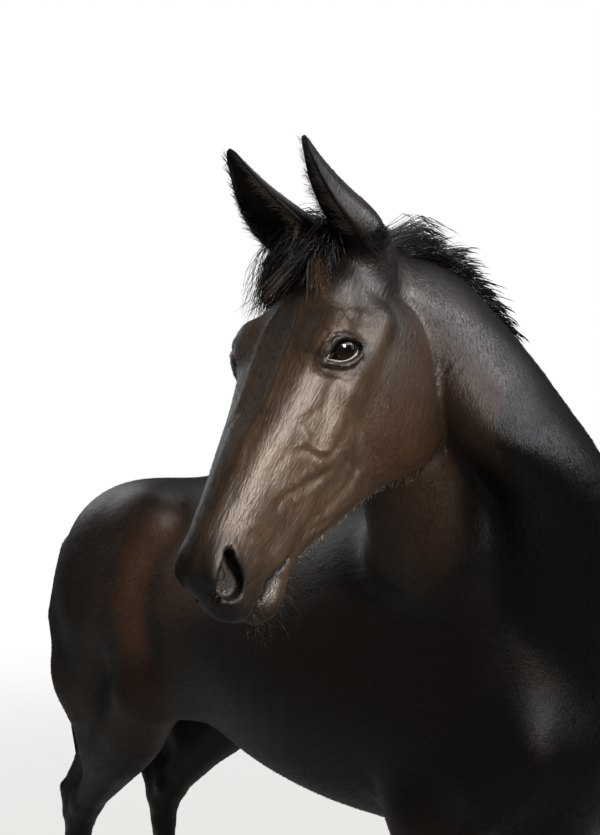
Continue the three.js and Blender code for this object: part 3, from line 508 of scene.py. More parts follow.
# Ears, in the head's frame: root, tip, the way the cup opens, and how far forward the middle bows.
EARS = {
    "left": ([-4, 63, -34], [-69, 26, 150], [0.7, -0.62, 0.38], 18),
    "right": ([-10, -42, -36], [-70, -118, 166], [1, 0, 0.3], 32),
}
head_union = joined(HEAD_FLESH)


def ear_root(name):
    """The flesh that fills the foot of an ear and runs into the head."""
    root, tip, opening = (np.array(v, float) for v in EARS[name][:3])
    back = -4 * opening / norm(opening)
    # [share of the ear's length, share of its distance to the side, radius]
    return limb(*[[*lerp(root, tip, t) * [1, s, 1] + back, r] for t, s, r in (
        (-0.2, 0.66, 29), (0.0, 0.88, 32), (0.12, 0.98, 34))])


EAR_ROOTS = [ear_root(name) for name in EARS]


def head_field(x, y, z):
    along, side, up = to_head(packed(x, y, z)).T
    d = head_union(along, np.abs(side), up)
    for hollow, blend in HEAD_HOLLOWS:
        d = smooth_max(d, -hollow(along, np.abs(side), up), blend)
    return d


def ear_roots_field(x, y, z):
    along, side, up = to_head(packed(x, y, z)).T
    return np.minimum(*(root(along, side, up) for root in EAR_ROOTS))


# %% [markdown]
# ## The neck
#
# The neck follows a curve from the chest round to the back of the skull. At 41 places along it a frame holds
# the section's half width, crest height and throat depth, and between two frames the section is a mix.

# %% Neck
NECK_STEPS = 40
NECK_LINE = np.array([
    [400, 0, 1235],
    [500, -12, 1400],
    [540, -38, 1570],
    [508, -108, 1715],
    [484, -171, 1791],
    [458, -236, 1850],
    from_head([-24, 0, -180]),
    from_head([-5, 0, -95]),
])
# [share of the length, half width, crest above the line, throat below it]
neck_at = through([
    [0, 150, 230, 250],
    [0.2, 138, 225, 214],
    [0.4, 112, 190, 194],
    [0.6, 97, 170, 178],
    [0.7, 87, 154, 152],
    [0.8, 77, 138, 122],
    [0.9, 67, 118, 98],
    [1, 56, 86, 86],
])


def curve_through(points, samples):
    """A centripetal curve through the points, sampled closely, with the length run at each sample."""
    ends = [2 * points[0] - points[1], *points, 2 * points[-1] - points[-2]]
    out = []
    for k in range(len(points) - 1):
        p0, p1, p2, p3 = ends[k:k + 4]
        s0, s1, s2 = (norm(b - a) ** 0.5 for a, b in ((p0, p1), (p1, p2), (p2, p3)))
        m1 = ((p1 - p0) / s0 - (p2 - p0) / (s0 + s1) + (p2 - p1) / s1) * s1
        m2 = ((p2 - p1) / s1 - (p3 - p1) / (s1 + s2) + (p3 - p2) / s2) * s1
        t = np.arange(samples)[:, None] / samples
        out.append(p1 + m1 * t + (3 * (p2 - p1) - 2 * m1 - m2) * t**2 + (2 * (p1 - p2) + m1 + m2) * t**3)
    line = np.vstack([*out, points[-1:]])
    run = np.r_[0, np.cumsum(norm(np.diff(line, axis=0), axis=1))]
    return line, run


def unit(v):
    return v / np.maximum(norm(v, axis=-1, keepdims=True), 1e-12)


def neck_frames():
    line, run = curve_through(NECK_LINE, 60)
    share = np.arange(NECK_STEPS + 1) / NECK_STEPS
    place = lambda s: packed(*[np.interp(s * run[-1], run, line[:, k]) for k in range(3)])
    centre = place(share)
    ahead = unit(place(np.clip(share + 0.004, 0, 1)) - place(np.clip(share - 0.004, 0, 1)))
    across = unit(lerp(np.array([0.0, 1.0, 0.0]), head_left, ease(share * 1.05)[:, None]))
    left = unit(across - ahead * (across * ahead).sum(-1, keepdims=True))
    half, above, below = neck_at(share)
    return dict(centre=centre, ahead=ahead, left=left, up=np.cross(ahead, left), half=half, above=above,
                below=below, step=run[-1] / NECK_STEPS)


NECK = neck_frames()
# The muscle from the jaw's angle to the shoulder fills the inner side of the bend.
inner_muscle = limb([425, -252, 1745, 58], [394, -222, 1620, 106], [388, -150, 1480, 126])


def neck_place(x, y, z):
    """The nearest frame, and how far ahead of it, to its left and above it each point lies."""
    p = packed(x, y, z)
    c = NECK["centre"]
    nearest = np.argmin((c**2).sum(-1) - 2 * p @ c.T, axis=-1)
    rel = p - c[nearest]
    return nearest, p, *((rel * NECK[k][nearest]).sum(-1) for k in ("ahead", "left", "up"))


def neck_field(x, y, z):
    nearest, p, along, side, high = neck_place(x, y, z)
    back, on = np.where(nearest > 0, -0.5, 0), np.where(nearest < NECK_STEPS, 0.5, 0)
    slide = np.clip(along / NECK["step"], back, on)
    other = nearest + np.sign(slide).astype(int)
    rel = p - NECK["centre"][other]
    s = np.abs(slide)
    side = lerp(side, (rel * NECK["left"][other]).sum(-1), s)
    high = lerp(high, (rel * NECK["up"][other]).sum(-1), s)
    half, above, below = (lerp(NECK[k][nearest], NECK[k][other], s) for k in ("half", "above", "below"))
    d = section(side, high, half, above, below, 1.5, 2.0)
    past = np.abs(along) - NECK["step"] / 2
    at_end = ((nearest == 0) | (nearest == NECK_STEPS)) & (past > 0)
    tube = np.where(at_end, np.hypot(np.maximum(d, 0), past), d)
    return smooth_min(tube, inner_muscle(x, y, z), 60)


def horse_field(points):
    """The skin's field at points in the horse's frame, in millimetres."""
    x, y, z = np.asarray(points, float).T
    d = np.full(len(x), 999.0)
    near_body = ~((x > 250) & (y < -330))
    d[near_body] = body_field(x[near_body], y[near_body], z[near_body])
    near_neck = (z > 1000) & (x > 100)
    d[near_neck] = smooth_min(d[near_neck], neck_field(x[near_neck], y[near_neck], z[near_neck]), 70)
    near_head = (z > 1300) & (x > 200) & (y < 0)
    d[near_head] = smooth_min(d[near_head], head_field(x[near_head], y[near_head], z[near_head]), 14)
    near_ears = near_head & (z > 1780)
    d[near_ears] = smooth_min(d[near_ears], ear_roots_field(x[near_ears], y[near_ears], z[near_ears]), 46)
    return d + COAT_DEPTH


# %% [markdown]
# ## Drawing the skin
#
# The field is sampled on a grid and drawn by surface nets: one vertex in every cell that the surface
# crosses, at the mean of the crossings, and one quad for each grid edge that it crosses. The grid is finer
# at the head, so one mesh serves the whole horse with no seam. Only blocks near the surface are sampled, and
# each vertex is then moved onto the true surface.

# %% Grid
BLOCK = 6


def grid_line(*spans):
    """Grid places from spans of [from, to, spacing], made up to whole blocks."""
    line = np.concatenate([np.arange(a, b, step) for a, b, step in spans])
    missing = -(len(line) - 1) % BLOCK
    return np.r_[line, line[-1] + spans[-1][2] * np.arange(1, missing + 1)]


HEAD_STEP = 9
GRID = [
    grid_line([-960, 340, 20], [340, 640, HEAD_STEP], [640, 760, 16]),
    grid_line([-860, -260, HEAD_STEP], [-260, 320, 16]),
    grid_line([52, 1410, 16], [1410, 2030, HEAD_STEP]),
]


def sample_near_surface(field, lines):
    coarse = [line[::BLOCK] for line in lines]
    mesh = np.stack(np.meshgrid(*coarse, indexing="ij"), -1)
    rough = field(mesh.reshape(-1, 3)).reshape(mesh.shape[:3])
    a, b, c = (n - 1 for n in rough.shape)
    corners = [rough[i:i + a, j:j + b, k:k + c] for i in (0, 1) for j in (0, 1) for k in (0, 1)]
    sizes = np.meshgrid(*[np.diff(c) for c in coarse], indexing="ij")
    diagonal = np.sqrt(sum(s**2 for s in sizes))
    active = np.min(np.abs(corners), axis=0) < diagonal * 0.62
    block = np.ones((BLOCK,) * 3)
    mask = np.zeros([len(line) for line in lines], bool)
    mask[:-1, :-1, :-1] = np.kron(active, block).astype(bool)
    for axis in range(3):
        mask |= np.roll(mask, 1, axis)
    values = np.full(mask.shape, 999.0)
    values[:-1, :-1, :-1] = np.kron(np.sign(corners[0]), block) * 999
    i, j, k = np.nonzero(mask)
    values[mask] = field(packed(lines[0][i], lines[1][j], lines[2][k]))
    print(f"sampled {mask.sum():,} of {mask.size:,} grid points")
    return values


def surface_nets(values, lines):
    """Vertices and quads of the surface where the values pass zero."""
    inside = values < 0
    cell_shape = [n - 1 for n in values.shape]
    offsets = [(i, j, k) for i in (0, 1) for j in (0, 1) for k in (0, 1)]
    a, b, c = cell_shape
    count = sum(inside[i:i + a, j:j + b, k:k + c].astype(np.int8) for i, j, k in offsets)
    cells = np.argwhere((count > 0) & (count < 8))
    number = np.full(cell_shape, -1)
    number[tuple(cells.T)] = np.arange(len(cells))
    corner = [values[tuple((cells + o).T)] for o in offsets]
    place = [packed(*[lines[a][(cells + o)[:, a]] for a in range(3)]) for o in offsets]
    total, crossings = np.zeros((len(cells), 3)), np.zeros(len(cells))
    for m, a in enumerate(offsets):
        for n, b in enumerate(offsets):
            if n > m and sum(abs(p - q) for p, q in zip(a, b)) == 1:
                cross = (corner[m] < 0) != (corner[n] < 0)
                t = np.where(cross, corner[m] / np.where(cross, corner[m] - corner[n], 1), 0)[:, None]
                total += np.where(cross[:, None], lerp(place[m], place[n], t), 0)
                crossings += cross
    quads = []
    for axis in range(3):
        u, v = [(1, 2), (2, 0), (0, 1)][axis]
        first = np.take(inside, range(inside.shape[axis] - 1), axis)
        edge = np.argwhere(np.diff(inside, axis=axis))
        beside = edge[:, [u, v]]
        edge = edge[((beside > 0) & (beside < [cell_shape[u], cell_shape[v]])).all(1)]
        outward = first[tuple(edge.T)]
        ring = []
        for du, dv in ((0, 0), (-1, 0), (-1, -1), (0, -1)):
            cell = edge.copy()
            cell[:, u] += du
            cell[:, v] += dv
            ring.append(number[tuple(cell.T)])
        ring = np.stack(ring, -1)
        quads.append(np.where(outward[:, None], ring, ring[:, ::-1]))
    return total / crossings[:, None], np.vstack(quads)


def slope_of(points, values, reach=0.4):
    """How fast the field grows along each axis."""
    steps = np.eye(3) * reach
    return packed(*[(horse_field(points + s) - values) / reach for s in steps])


def onto_surface(points, rounds=2, most=4.0):
    """Points moved along the field's slope until they lie on the surface."""
    for _ in range(rounds):
        d = horse_field(points)
        slope = slope_of(points, d)
        step = -d[:, None] * slope / np.maximum((slope**2).sum(-1, keepdims=True), 0.05)
        size = norm(step, axis=-1, keepdims=True)
        points = points + step * np.minimum(1, most / np.maximum(size, 1e-9))
    return points


# %% First skin
def relaxed(points, edges, rounds=2, share=0.5):
    """Each point moved part of the way to the mean of its neighbours."""
    for _ in range(rounds):
        total, count = np.zeros_like(points), np.zeros(len(points))
        for a, b in ((0, 1), (1, 0)):
            for axis in range(3):
                total[:, axis] += np.bincount(edges[:, a], points[edges[:, b], axis], len(points))
            count += np.bincount(edges[:, a], minlength=len(points))
        points = lerp(points, total / np.maximum(count, 1)[:, None], share)
    return points


values = sample_near_surface(horse_field, GRID)
skin_points, skin_quads = surface_nets(values, GRID)
quad_edges = np.vstack([skin_quads[:, [i, (i + 1) % 4]] for i in range(4)])
quad_edges = np.unique(np.sort(quad_edges, axis=1), axis=0)
skin_points = onto_surface(relaxed(skin_points, quad_edges))
print(f"skin: {len(skin_points):,} vertices, {len(skin_quads):,} quads")

# %% [markdown]
# ## Finer mesh where the detail is
#
# The quads on the head and the lower legs are divided in four, and those at the eyes, nostrils and lips once
# more. Each time the new vertices are moved onto the field again, which then shows its detail.

# %% Refining
def mesh_of(name, points, faces):
    mesh = bpy.data.meshes.new(name)
    mesh.from_pydata(points.tolist(), [], faces)
    mesh.update()
    return mesh


def read_points(mesh):
    co = np.empty(len(mesh.vertices) * 3)
    mesh.vertices.foreach_get("co", co)
    return co.reshape(-1, 3)


def write_points(mesh, points):
    mesh.vertices.foreach_set("co", np.ascontiguousarray(points, float).ravel())
    mesh.update()


def read_normals(mesh):
    normals = np.empty(len(mesh.vertices) * 3, np.float32)
    mesh.vertex_normals.foreach_get("vector", normals)
    return normals.reshape(-1, 3).astype(float)


def divide(mesh, wanted):
    """Splits the faces that lie where wanted(points) is true, and puts the new vertices on the field."""
    points = read_points(mesh)
    chosen = wanted(points)
    bm = bmesh.new()
    bm.from_mesh(mesh)
    bm.verts.ensure_lookup_table()
    edges = [e for e in bm.edges if chosen[e.verts[0].index] and chosen[e.verts[1].index]]
    bmesh.ops.subdivide_edges(bm, edges=edges, cuts=1, use_grid_fill=True)
    bm.to_mesh(mesh)
    bm.free()
    points = read_points(mesh)
    chosen = wanted(points)
    edges = np.array([e.vertices for e in mesh.edges])
    points[chosen] = relaxed(points, edges, rounds=1, share=0.35)[chosen]
    points[chosen] = onto_surface(points[chosen], rounds=3, most=2.0)
    write_points(mesh, points)


LEG_DETAIL_TOP = 600


def on_head_or_leg(points):
    along, side, up = to_head(points).T
    head = (along > -60) & (up > -400) & (up < 70) & (np.abs(side) < 130)
    return head & (points[:, 1] < -200) | (points[:, 2] < LEG_DETAIL_TOP)


def on_fine_feature(points):
    along, side, up = to_head(points).T
    side = np.abs(side)
    nose, high, out = at_eye(along, side, up)
    eye = (np.hypot(nose - 8, high) < 44) & (out > -5)
    down, front, out = at_nostril(along, side, up)
    nostril = (np.hypot(down, front) < 34) & (out > -35)
    mouth = (np.abs(up + 145) < 9) & (along > 480) & (along < 604)
    fold = (along > 305) & (along < 430) & (up > -165) & (up < -80) & (side > 25)
    return eye | nostril | mouth | fold


skin_mesh = mesh_of("skin", skin_points, skin_quads.tolist())
divide(skin_mesh, on_head_or_leg)
print(f"divided once: {len(skin_mesh.polygons):,} faces")
divide(skin_mesh, on_fine_feature)


def smooth_throat(mesh, rounds=8):
    """Takes the small creases out of the fold between the jaw and the neck."""
    points = read_points(mesh)
    along, side, up = to_head(points).T
    throat = (along > -150) & (along < 45) & (up > -430) & (up < -130) & (np.abs(side) < 170)
    edges = np.array([e.vertices for e in mesh.edges])
    points[throat] = relaxed(points, edges, rounds)[throat]
    write_points(mesh, points)


smooth_throat(skin_mesh)
triangles = sum(len(face.vertices) - 2 for face in skin_mesh.polygons)
print(f"refined skin: {len(skin_mesh.vertices):,} vertices, {triangles:,} triangles")

# %% [markdown]
# ## Folds, veins and muscle lines
#
# Under a thin coat every fold, vein and edge of bone shows as a soft ridge or groove. Painted bump would
# leave the outline bare, so each is a stroke: a line with a height and a width, and the skin's vertices near
# it move along their normals. Strokes on the head apply to both of its sides.

# %% Strokes on the head
# [height, half width, points [along, side, up]]
HEAD_STROKES = [
    [3.0, 6, [[340, 72, -52], [349, 72, -70], [348, 77, -88], [337, 80, -104]]],  # end of the facial crest
    [-2.4, 5.5, [[372, 66, -61], [358, 70, -72], [357, 76, -96], [342, 78, -113], [321, 76, -123]]],
    [-2.6, 9, [[228, 105, -92], [255, 103, -94], [278, 93, -104], [300, 83, -116], [319, 78, -121]]],
    [-1.6, 9, [[258, 89, -55], [293, 80, -56], [331, 71, -50], [365, 66, -51], [421, 53, -42]]],
    [1.7, 8, [[316, 73, -143], [355, 73, -114], [378, 65, -102], [403, 62, -86], [424, 58, -72]]],
    [-1.9, 6, [[352, 68, -133], [375, 65, -119], [396, 61, -104], [421, 59, -86], [445, 55, -78]]],
    [1.8, 6, [[360, 62, -140], [392, 58, -124], [424, 54, -103]]],
    [-3.2, 8, [[324, 74, -136], [306, 60, -178], [303, 58, -197], [330, 54, -199], [367, 48, -188],
               [396, 45, -178], [426, 43, -158]]],  # border of the cheek muscle and the jaw
    [-2.4, 5, [[462, 41, -152], [444, 40, -160], [425, 41, -174], [397, 41, -197]]],
    [1.5, 5, [[446, 53, -90], [458, 52, -97], [466, 50, -106]]],
    [1.7, 9, [[140, 70, -26], [124, 77, -44], [119, 87, -60]]],  # folds of the brow
    [1.2, 6, [[198, 93, 6], [196, 104, -5], [190, 109, -17]]],
    [-1.4, 4, [[172, 100, 0], [160, 100, -14], [152, 100, -30]]],
    [-1.0, 5, [[255, 76, -15], [282, 70, -23], [303, 69, -32]]],
    [1.8, 6, [[120, 12, 12], [189, 30, 8], [227, 29, 5], [271, 27, 1], [330, 26, -4]]],  # ridge of the nose
    [-1.2, 7, [[360, 30, -6], [420, 30, -12], [480, 28, -18]]],
    [0.5, 5, [[268, 86, -40], [290, 80, -52], [318, 74, -64], [345, 68, -78]]],  # vein in front of the crest
    [0.6, 4, [[290, 80, -52], [330, 66, -30], [372, 58, -26], [410, 52, -30]]],
    [1.5, 4, [[318, 60, -196], [292, 64, -228], [262, 68, -262]]],  # vein round the jaw
    [-1.6, 4, [[520, 42, -118], [545, 42, -104], [560, 40, -96]]],
    [1.4, 5, [[486, 46, -60], [510, 46, -44], [530, 44, -30]]],
]
LID_STROKES = [  # round the eye: [height, half width, points [towards the nose, up]]
    [-2.6, 2.2, [[31, 24], [19, 29], [2, 26], [-18, 17], [-36, 2]]],  # crease over the upper lid
    [1.8, 2.6, [[24, 20], [8, 22], [-8, 18], [-24, 8], [-36, -4]]],
    [-1.8, 2.4, [[47, -13], [32, -21], [12, -28], [-6, -29], [-22, -22]]],  # fold under the lower lid
    [1.5, 3, [[38, -8], [26, -15], [8, -21], [-12, -19], [-26, -12]]],
    [-1.6, 2.4, [[58, 2], [50, 12], [40, 22], [26, 34]]],
    [-1.3, 2.4, [[-20, 30], [-38, 16], [-48, -2]]],
    [-1.2, 2.2, [[60, -16], [44, -30], [22, -38], [-4, -40]]],
]


def near_line(points, line):
    """The distance from each point to a line through the given places."""
    nearest = np.full(len(points), np.inf)
    for a, b in zip(np.array(line[:-1], float), np.array(line[1:], float)):
        t = np.clip((points - a) @ (b - a) / ((b - a) @ (b - a)), 0, 1)
        nearest = np.minimum(nearest, norm(points - a - t[:, None] * (b - a), axis=1))
    return nearest


def stroke_height(points, strokes):
    height = np.zeros(len(points))
    for size, width, line in strokes:
        height += size * np.exp(-((near_line(points, line) / width) ** 2))
    return height


# %% Strokes on the body
# [height, half width, points [forward, to either side, up]], with the trunk's curve and the steps taken out
BODY_STROKES = [
    [-6, 22, [[560, 130, 1330], [610, 110, 1240], [640, 60, 1150]]],  # neck to upper arm
    [4, 16, [[330, 90, 1500], [400, 135, 1380], [470, 165, 1260]]],  # spine of the shoulder blade
    [-5, 20, [[290, 150, 1430], [250, 215, 1290], [240, 240, 1180]]],  # behind the shoulder
    [-5, 16, [[250, 230, 1090], [290, 215, 1010], [330, 190, 960]]],  # behind the elbow
    [4, 9, [[200, 262, 1010], [60, 275, 985], [-90, 262, 975], [-200, 232, 985]]],  # vein on the flank
    [-14, 46, [[-330, 190, 1440], [-390, 235, 1350], [-440, 245, 1240], [-420, 235, 1120]]],  # flank
    [5, 12, [[-455, 205, 1460], [-510, 238, 1370], [-560, 246, 1250], [-535, 238, 1080]]],  # haunch
    [-10, 32, [[-560, 190, 1440], [-610, 232, 1340], [-640, 240, 1220]]],
    [5, 20, [[-430, 225, 1450], [-470, 215, 1380]]],  # point of the hip
    [-5, 20, [[-700, 170, 1420], [-760, 175, 1250], [-770, 165, 1090]]],  # between the thigh muscles
    [4, 12, [[-560, 245, 1180], [-540, 225, 1040], [-600, 190, 920]]],
    [-3, 5, [[388, 165, 900], [392, 162, 780], [396, 150, 640]]],  # forearm muscles
    [2.5, 4, [[386, 144, 470], [384, 142, 380], [382, 140, 290]]],  # tendons of the fore leg
    [-2.5, 4, [[396, 146, 460], [393, 144, 380], [392, 142, 280]]],
    [-2.5, 4, [[-864, 136, 510], [-860, 138, 420], [-858, 136, 290]]],  # tendons of the hind leg
    [2, 4, [[-845, 140, 600], [-838, 146, 540]]],
    [3, 7, [[-590, 235, 1060], [-640, 205, 940], [-740, 168, 800]]],
]
RIBS = [[2.2, 11, [[x, 255, 1330], [x - 30, 292, 1200], [x - 46, 286, 1070]]] for x in range(150, -160, -52)]


def squared(points):
    """Places in a square stance, with the trunk's curve and each leg's step taken out and Y as a distance."""
    x, y, z = points.T
    straight = y - bend(x)
    left = straight > 0
    fore = np.where(left, STEP["fore_left"], STEP["fore_right"])
    hind = np.where(left, STEP["hind_left"], STEP["hind_right"])
    shift = np.where(x > -100, swing(fore, z, ELBOW_Z), swing(hind, z, STIFLE_Z))
    return packed(x - shift, np.abs(straight), z)


def raised(points, normals):
    """The skin's points moved along their normals by the strokes."""
    head = to_head(points)
    head[:, 1] = np.abs(head[:, 1])
    is_head = (head[:, 0] > 60) & (head[:, 0] < 620) & (head[:, 1] < 130) & (points[:, 1] < -330)
    height = np.zeros(len(points))
    height[is_head] = stroke_height(head[is_head], HEAD_STROKES)
    nose, high, out = at_eye(*head.T)
    lids = is_head & (np.hypot(nose, high) < 75) & (out > 0)
    flat = packed(nose, high)[lids]
    clear = ease((slit_field(nose[lids], high[lids]) - 0.5) / 4)
    height[lids] += stroke_height(flat, LID_STROKES) * clear
    body = ~is_head
    height[body] = stroke_height(squared(points[body]), BODY_STROKES + RIBS)
    return points + normals * height[:, None]


skin_mesh.shade_smooth()
before = read_points(skin_mesh)
write_points(skin_mesh, raised(before, read_normals(skin_mesh)))
print("strokes move the skin by up to", round(float(np.abs(read_points(skin_mesh) - before).max()), 1), "mm")

# %% [markdown]
# ## The lie of the coat
#
# Short hair lies down the face, down the neck to the shoulder, back along the trunk and down the legs. Bump
# and tufts both need its way, so each place gets four weights, one for each region, and a way that is a mix
# of theirs.

# %% Regions
HEAD_LIE = faceward
NECK_LIE = unit(np.array([-0.35, 0.25, -0.90]))
TRUNK_LIE = unit(np.array([-0.87, 0.0, -0.50]))
LEG_LIE = np.array([0.0, 0.0, -1.0])
LIES = np.array([HEAD_LIE, NECK_LIE, TRUNK_LIE, LEG_LIE])


def regions(points):
    """Weights of the head, neck, trunk and legs, a column for each."""
    x, y, z = points.T
    along, side, up = to_head(points).T
    behind_jaw = np.minimum((along + 0.33 * up + 86) / 1.05, (0.7 * (along - 30) + up + 353) / 1.22)
    head = ease(behind_jaw / 50 + 0.5) * (y < -150) * (z > 1300) * (np.abs(side) < 170)
    ahead = 0.823 * (x - 545) + 0.568 * (z - 1390)
    neck = ease(ahead / 200 + 0.5) * (1 - head)
    over_belly = ease((x + 420) / 80) * (1 - ease((x - 260) / 60))
    leg = ease((980 - z) / 160) * (1 - over_belly) * (1 - head) * (1 - neck)
    return packed(head, neck, 1 - head - neck - leg, leg)


def lie_at(points, normals):
    """The way the hair lies at each place, along the skin."""
    weights = regions(points)
    way = weights @ LIES
    up = to_head(points)[:, 2]
    cheek = weights[:, 0] * ease((-70 - up) / 130)
    way = unit(way - 0.75 * cheek[:, None] * head_up)
    return unit(way - normals * (way * normals).sum(-1, keepdims=True))


# %% [markdown]
# ## Markings
#
# A dark bay is brown with black legs, muzzle and long hair. The brown is greyer on the face and warmer over
# the jaw, the flank and the hip. The face's taupe is partly a painted sheen; the black on the bridge of the
# nose is painted shade, and the black on the neck is partly painted shade. Skin and tufts take their colour
# from the same four values: how black, how warm, how much of the face's taupe, and how bare the skin is.

# %% Markings
def markings(points):
    x, y, z = points.T
    along, side, up = to_head(points).T
    side = np.abs(side)
    head, neck, trunk, leg = regions(points).T
    nose, high, out = at_eye(along, side, up)
    lids = slit_field(nose, high)
    round_eye = head * (out > -12) * (np.hypot(nose, high) < 90)
    down, front, outward = at_nostril(along, side, up)
    round_nostril = head * (np.hypot(down, front) < 60) * (outward > -40)
    rim = nostril_hole(down, front)
    lip_level, = through(MOUTH_LINE)(along)
    lips = head * (1 - ease((np.abs(up - lip_level) - 3) / 9)) * ease((along - 480) / 12)
    bare = np.maximum.reduce([
        round_eye * (1 - ease((lids - 1) / 5)),
        round_nostril * (1 - ease((rim - 2) / 9)),
        lips,
        head * ease((along - 575) / 20) * 0.7,
    ])
    black = np.maximum.reduce([
        ease((760 - z) / 240) * leg,
        head * ease((along - 480) / 110) * 0.75,
        # painted shade: the bridge of the nose is darkened where its plane faces away from the light
        head * (1 - ease((side - 6) / 26)) * ease((up + 60) / 40) * 0.3,  # the bridge of the nose
        round_eye * (1 - ease((lids - 4) / 20)) * 0.8,
        # partly a blacker coat and partly painted shade: the neck is darkened as if it lay in shade behind
        # the lit head
        neck * 0.55,
        trunk * ease((z - 1380) / 180) * 0.35,
        head * ease((40 - along) / 60) * 0.3,
    ])
    jowl = head * ease((-130 - up) / 80) * ease((330 - along) / 60)
    crest_front = head * np.exp(-((near_line(packed(along, side, up),
                                            [[258, 89, -55], [331, 71, -50], [421, 53, -42]]) / 22) ** 2))
    warm = np.maximum.reduce([
        jowl * 0.85,
        crest_front * 0.7,
        trunk * (1 - ease((np.hypot(x + 430, z - 1130) - 130) / 240)) * 0.3,
        trunk * (1 - ease((np.hypot(x + 560, z - 1460) - 60) / 200)) * 0.25,
        trunk * ease((1040 - z) / 140) * 0.6,
    ])
    # partly a greyer coat and partly painted sheen: the face is a lighter taupe, the way the satin shine of
    # the lit face looks
    face = head * ease((along - 60) / 90) * (1 - 0.75 * jowl)
    return packed(black, warm, face, bare).clip(0, 1)


def give(mesh, name, kind, values):
    """Gives each point of a mesh a value, under a name that materials read."""
    layer = mesh.attributes.new(name, kind, "POINT")
    field = {"FLOAT": "value", "FLOAT_VECTOR": "vector", "FLOAT_COLOR": "color"}[kind]
    layer.data.foreach_set(field, np.ascontiguousarray(values, np.float32).ravel())


def paint(mesh, points):
    """Gives a mesh the markings and regions of the places of its points, in millimetres."""
    give(mesh, "markings", "FLOAT_COLOR", markings(points))
    give(mesh, "regions", "FLOAT_COLOR", regions(points))


# %% Pieces
def new_object(name, data):
    thing = bpy.data.objects.new(name, data)
    bpy.context.scene.collection.objects.link(thing)
    return thing


def add_piece(name, mesh, material, slot, *solids):
    """Puts a mesh in the scene as a piece of the one body, in place of the solids named last."""
    piece = new_object(name, mesh)
    mesh.materials.append(material)
    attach(piece, "root")
    if solids:
        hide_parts(*solids)
    print(f"{name}: {len(mesh.polygons):,} faces")


# %% Rings
def ring_faces(rings, sides, start=0):
    """Quads between rings of places that close on themselves."""
    ring, side = np.meshgrid(np.arange(rings - 1), np.arange(sides), indexing="ij")
    here, beside = ring * sides + side, ring * sides + (side + 1) % sides
    return (start + packed(here, beside, beside + sides, here + sides).reshape(-1, 4)).tolist()


def capped(rings, sides):
    """The same, with a face over each end."""
    last = (rings - 1) * sides
    return ring_faces(rings, sides) + [list(range(sides))[::-1], list(range(last, last + sides))]


def tube(points, radius, ways, sides=8):
    """Rings round a line: two ways across it, and a radius at each point."""
    turn = np.linspace(0, 2 * pi, sides, endpoint=False)
    first, second = ways
    ring = np.cos(turn)[None, :, None] * first[:, None] + np.sin(turn)[None, :, None] * second[:, None]
    return (points[:, None] + ring * radius[:, None, None]).reshape(-1, 3), capped(len(points), sides)


def face_outward(mesh):
    bm = bmesh.new()
    bm.from_mesh(mesh)
    bmesh.ops.recalc_face_normals(bm, faces=bm.faces)
    bm.to_mesh(mesh)
    bm.free()
    mesh.shade_smooth()


# %% [markdown]
# ## Ears
#
# An ear is a thin rolled leaf of gristle, too thin for the field's grid, so it is drawn from rings. Each
# runs round the back of the leaf from margin to margin and returns along the inside of the cup. The root
# lies buried in the head, and the ears are joined to the skin as one mesh.

# %% Ears
# [share of the length, half width, depth behind, depth in front]
ear_at = through([
    [-0.12, 10, 10, 10],
    [0, 30, 30, 20],
    [0.12, 44, 45, 25],
    [0.28, 50, 48, 19],
    [0.45, 47, 41, 12],
    [0.62, 38, 31, 8],
    [0.78, 27, 20, 6],
    [0.9, 17, 12, 4],
    [0.96, 12, 8, 3.5],
    [1, 5, 4, 2.5],
])
EAR_WALL = 4
EAR_FOOT = -0.12  # the leaf starts this far down inside the head
EAR_ROWS, EAR_COLUMNS = 44, 26
MARGIN_ANGLE = radians(116)  # how far round the leaf wraps to each side of its back


def ear_frame(name):
    root, tip, opening = (np.array(v, float) for v in EARS[name][:3])
    up = unit(tip - root)
    front = unit(opening - up * (opening @ up))
    return root, tip, up, front, np.cross(front, up)


def ear_point(name, share, angle, inner, lift=0.0):
    """A place on an ear in the head's frame: the angle is 0 at the back and grows to each margin."""
    root, tip, up, front, across = ear_frame(name)
    half, behind, ahead = ear_at(share)
    wall = EAR_WALL * (1 - 0.65 * (np.abs(angle) / MARGIN_ANGLE) ** 4)
    half = np.maximum(half - COAT_DEPTH * 0.5 - wall * inner, 0.6)
    behind = np.maximum(behind - COAT_DEPTH * 0.5 - wall * inner, 0.6)
    depth = np.where(np.cos(angle) > 0, behind, ahead)
    cup = ease((share - 0.13) / 0.2)
    back = -np.cos(angle) * depth
    back = np.where(inner > 0, lerp(ahead * 0.2, back, cup), back) + lift * inner
    bow = EARS[name][3] * np.sin(pi * share)
    middle = root + (tip - root) * share[..., None] + front * bow[..., None]
    return middle + across * (np.sin(angle) * half)[..., None] + front * back[..., None]


def ear_shell(name):
    share = np.linspace(EAR_FOOT, 1, EAR_ROWS)[:, None]
    outer = np.linspace(-MARGIN_ANGLE, MARGIN_ANGLE, EAR_COLUMNS)[None, :]
    share, outer = np.broadcast_arrays(share, outer)
    fold = 1.2 * np.cos(outer * 9) * (np.abs(outer) < 1.4)  # ridges of gristle inside the cup
    ring = np.concatenate([
        ear_point(name, share, outer, np.zeros_like(outer)),
        ear_point(name, share, outer[:, ::-1], np.ones_like(outer), fold[:, ::-1]),
    ], axis=1)
    return from_head(ring.reshape(-1, 3)), capped(EAR_ROWS, ring.shape[1])


def with_ears(mesh):
    """The skin's mesh with both ears joined to it."""
    bm = bmesh.new()
    bm.from_mesh(mesh)
    for name in EARS:
        points, faces = ear_shell(name)
        verts = [bm.verts.new(p) for p in points]
        new_faces = [bm.faces.new([verts[i] for i in face]) for face in faces]
        bmesh.ops.recalc_face_normals(bm, faces=new_faces)
    for face in bm.faces:
        face.smooth = True
    bm.to_mesh(mesh)
    bm.free()


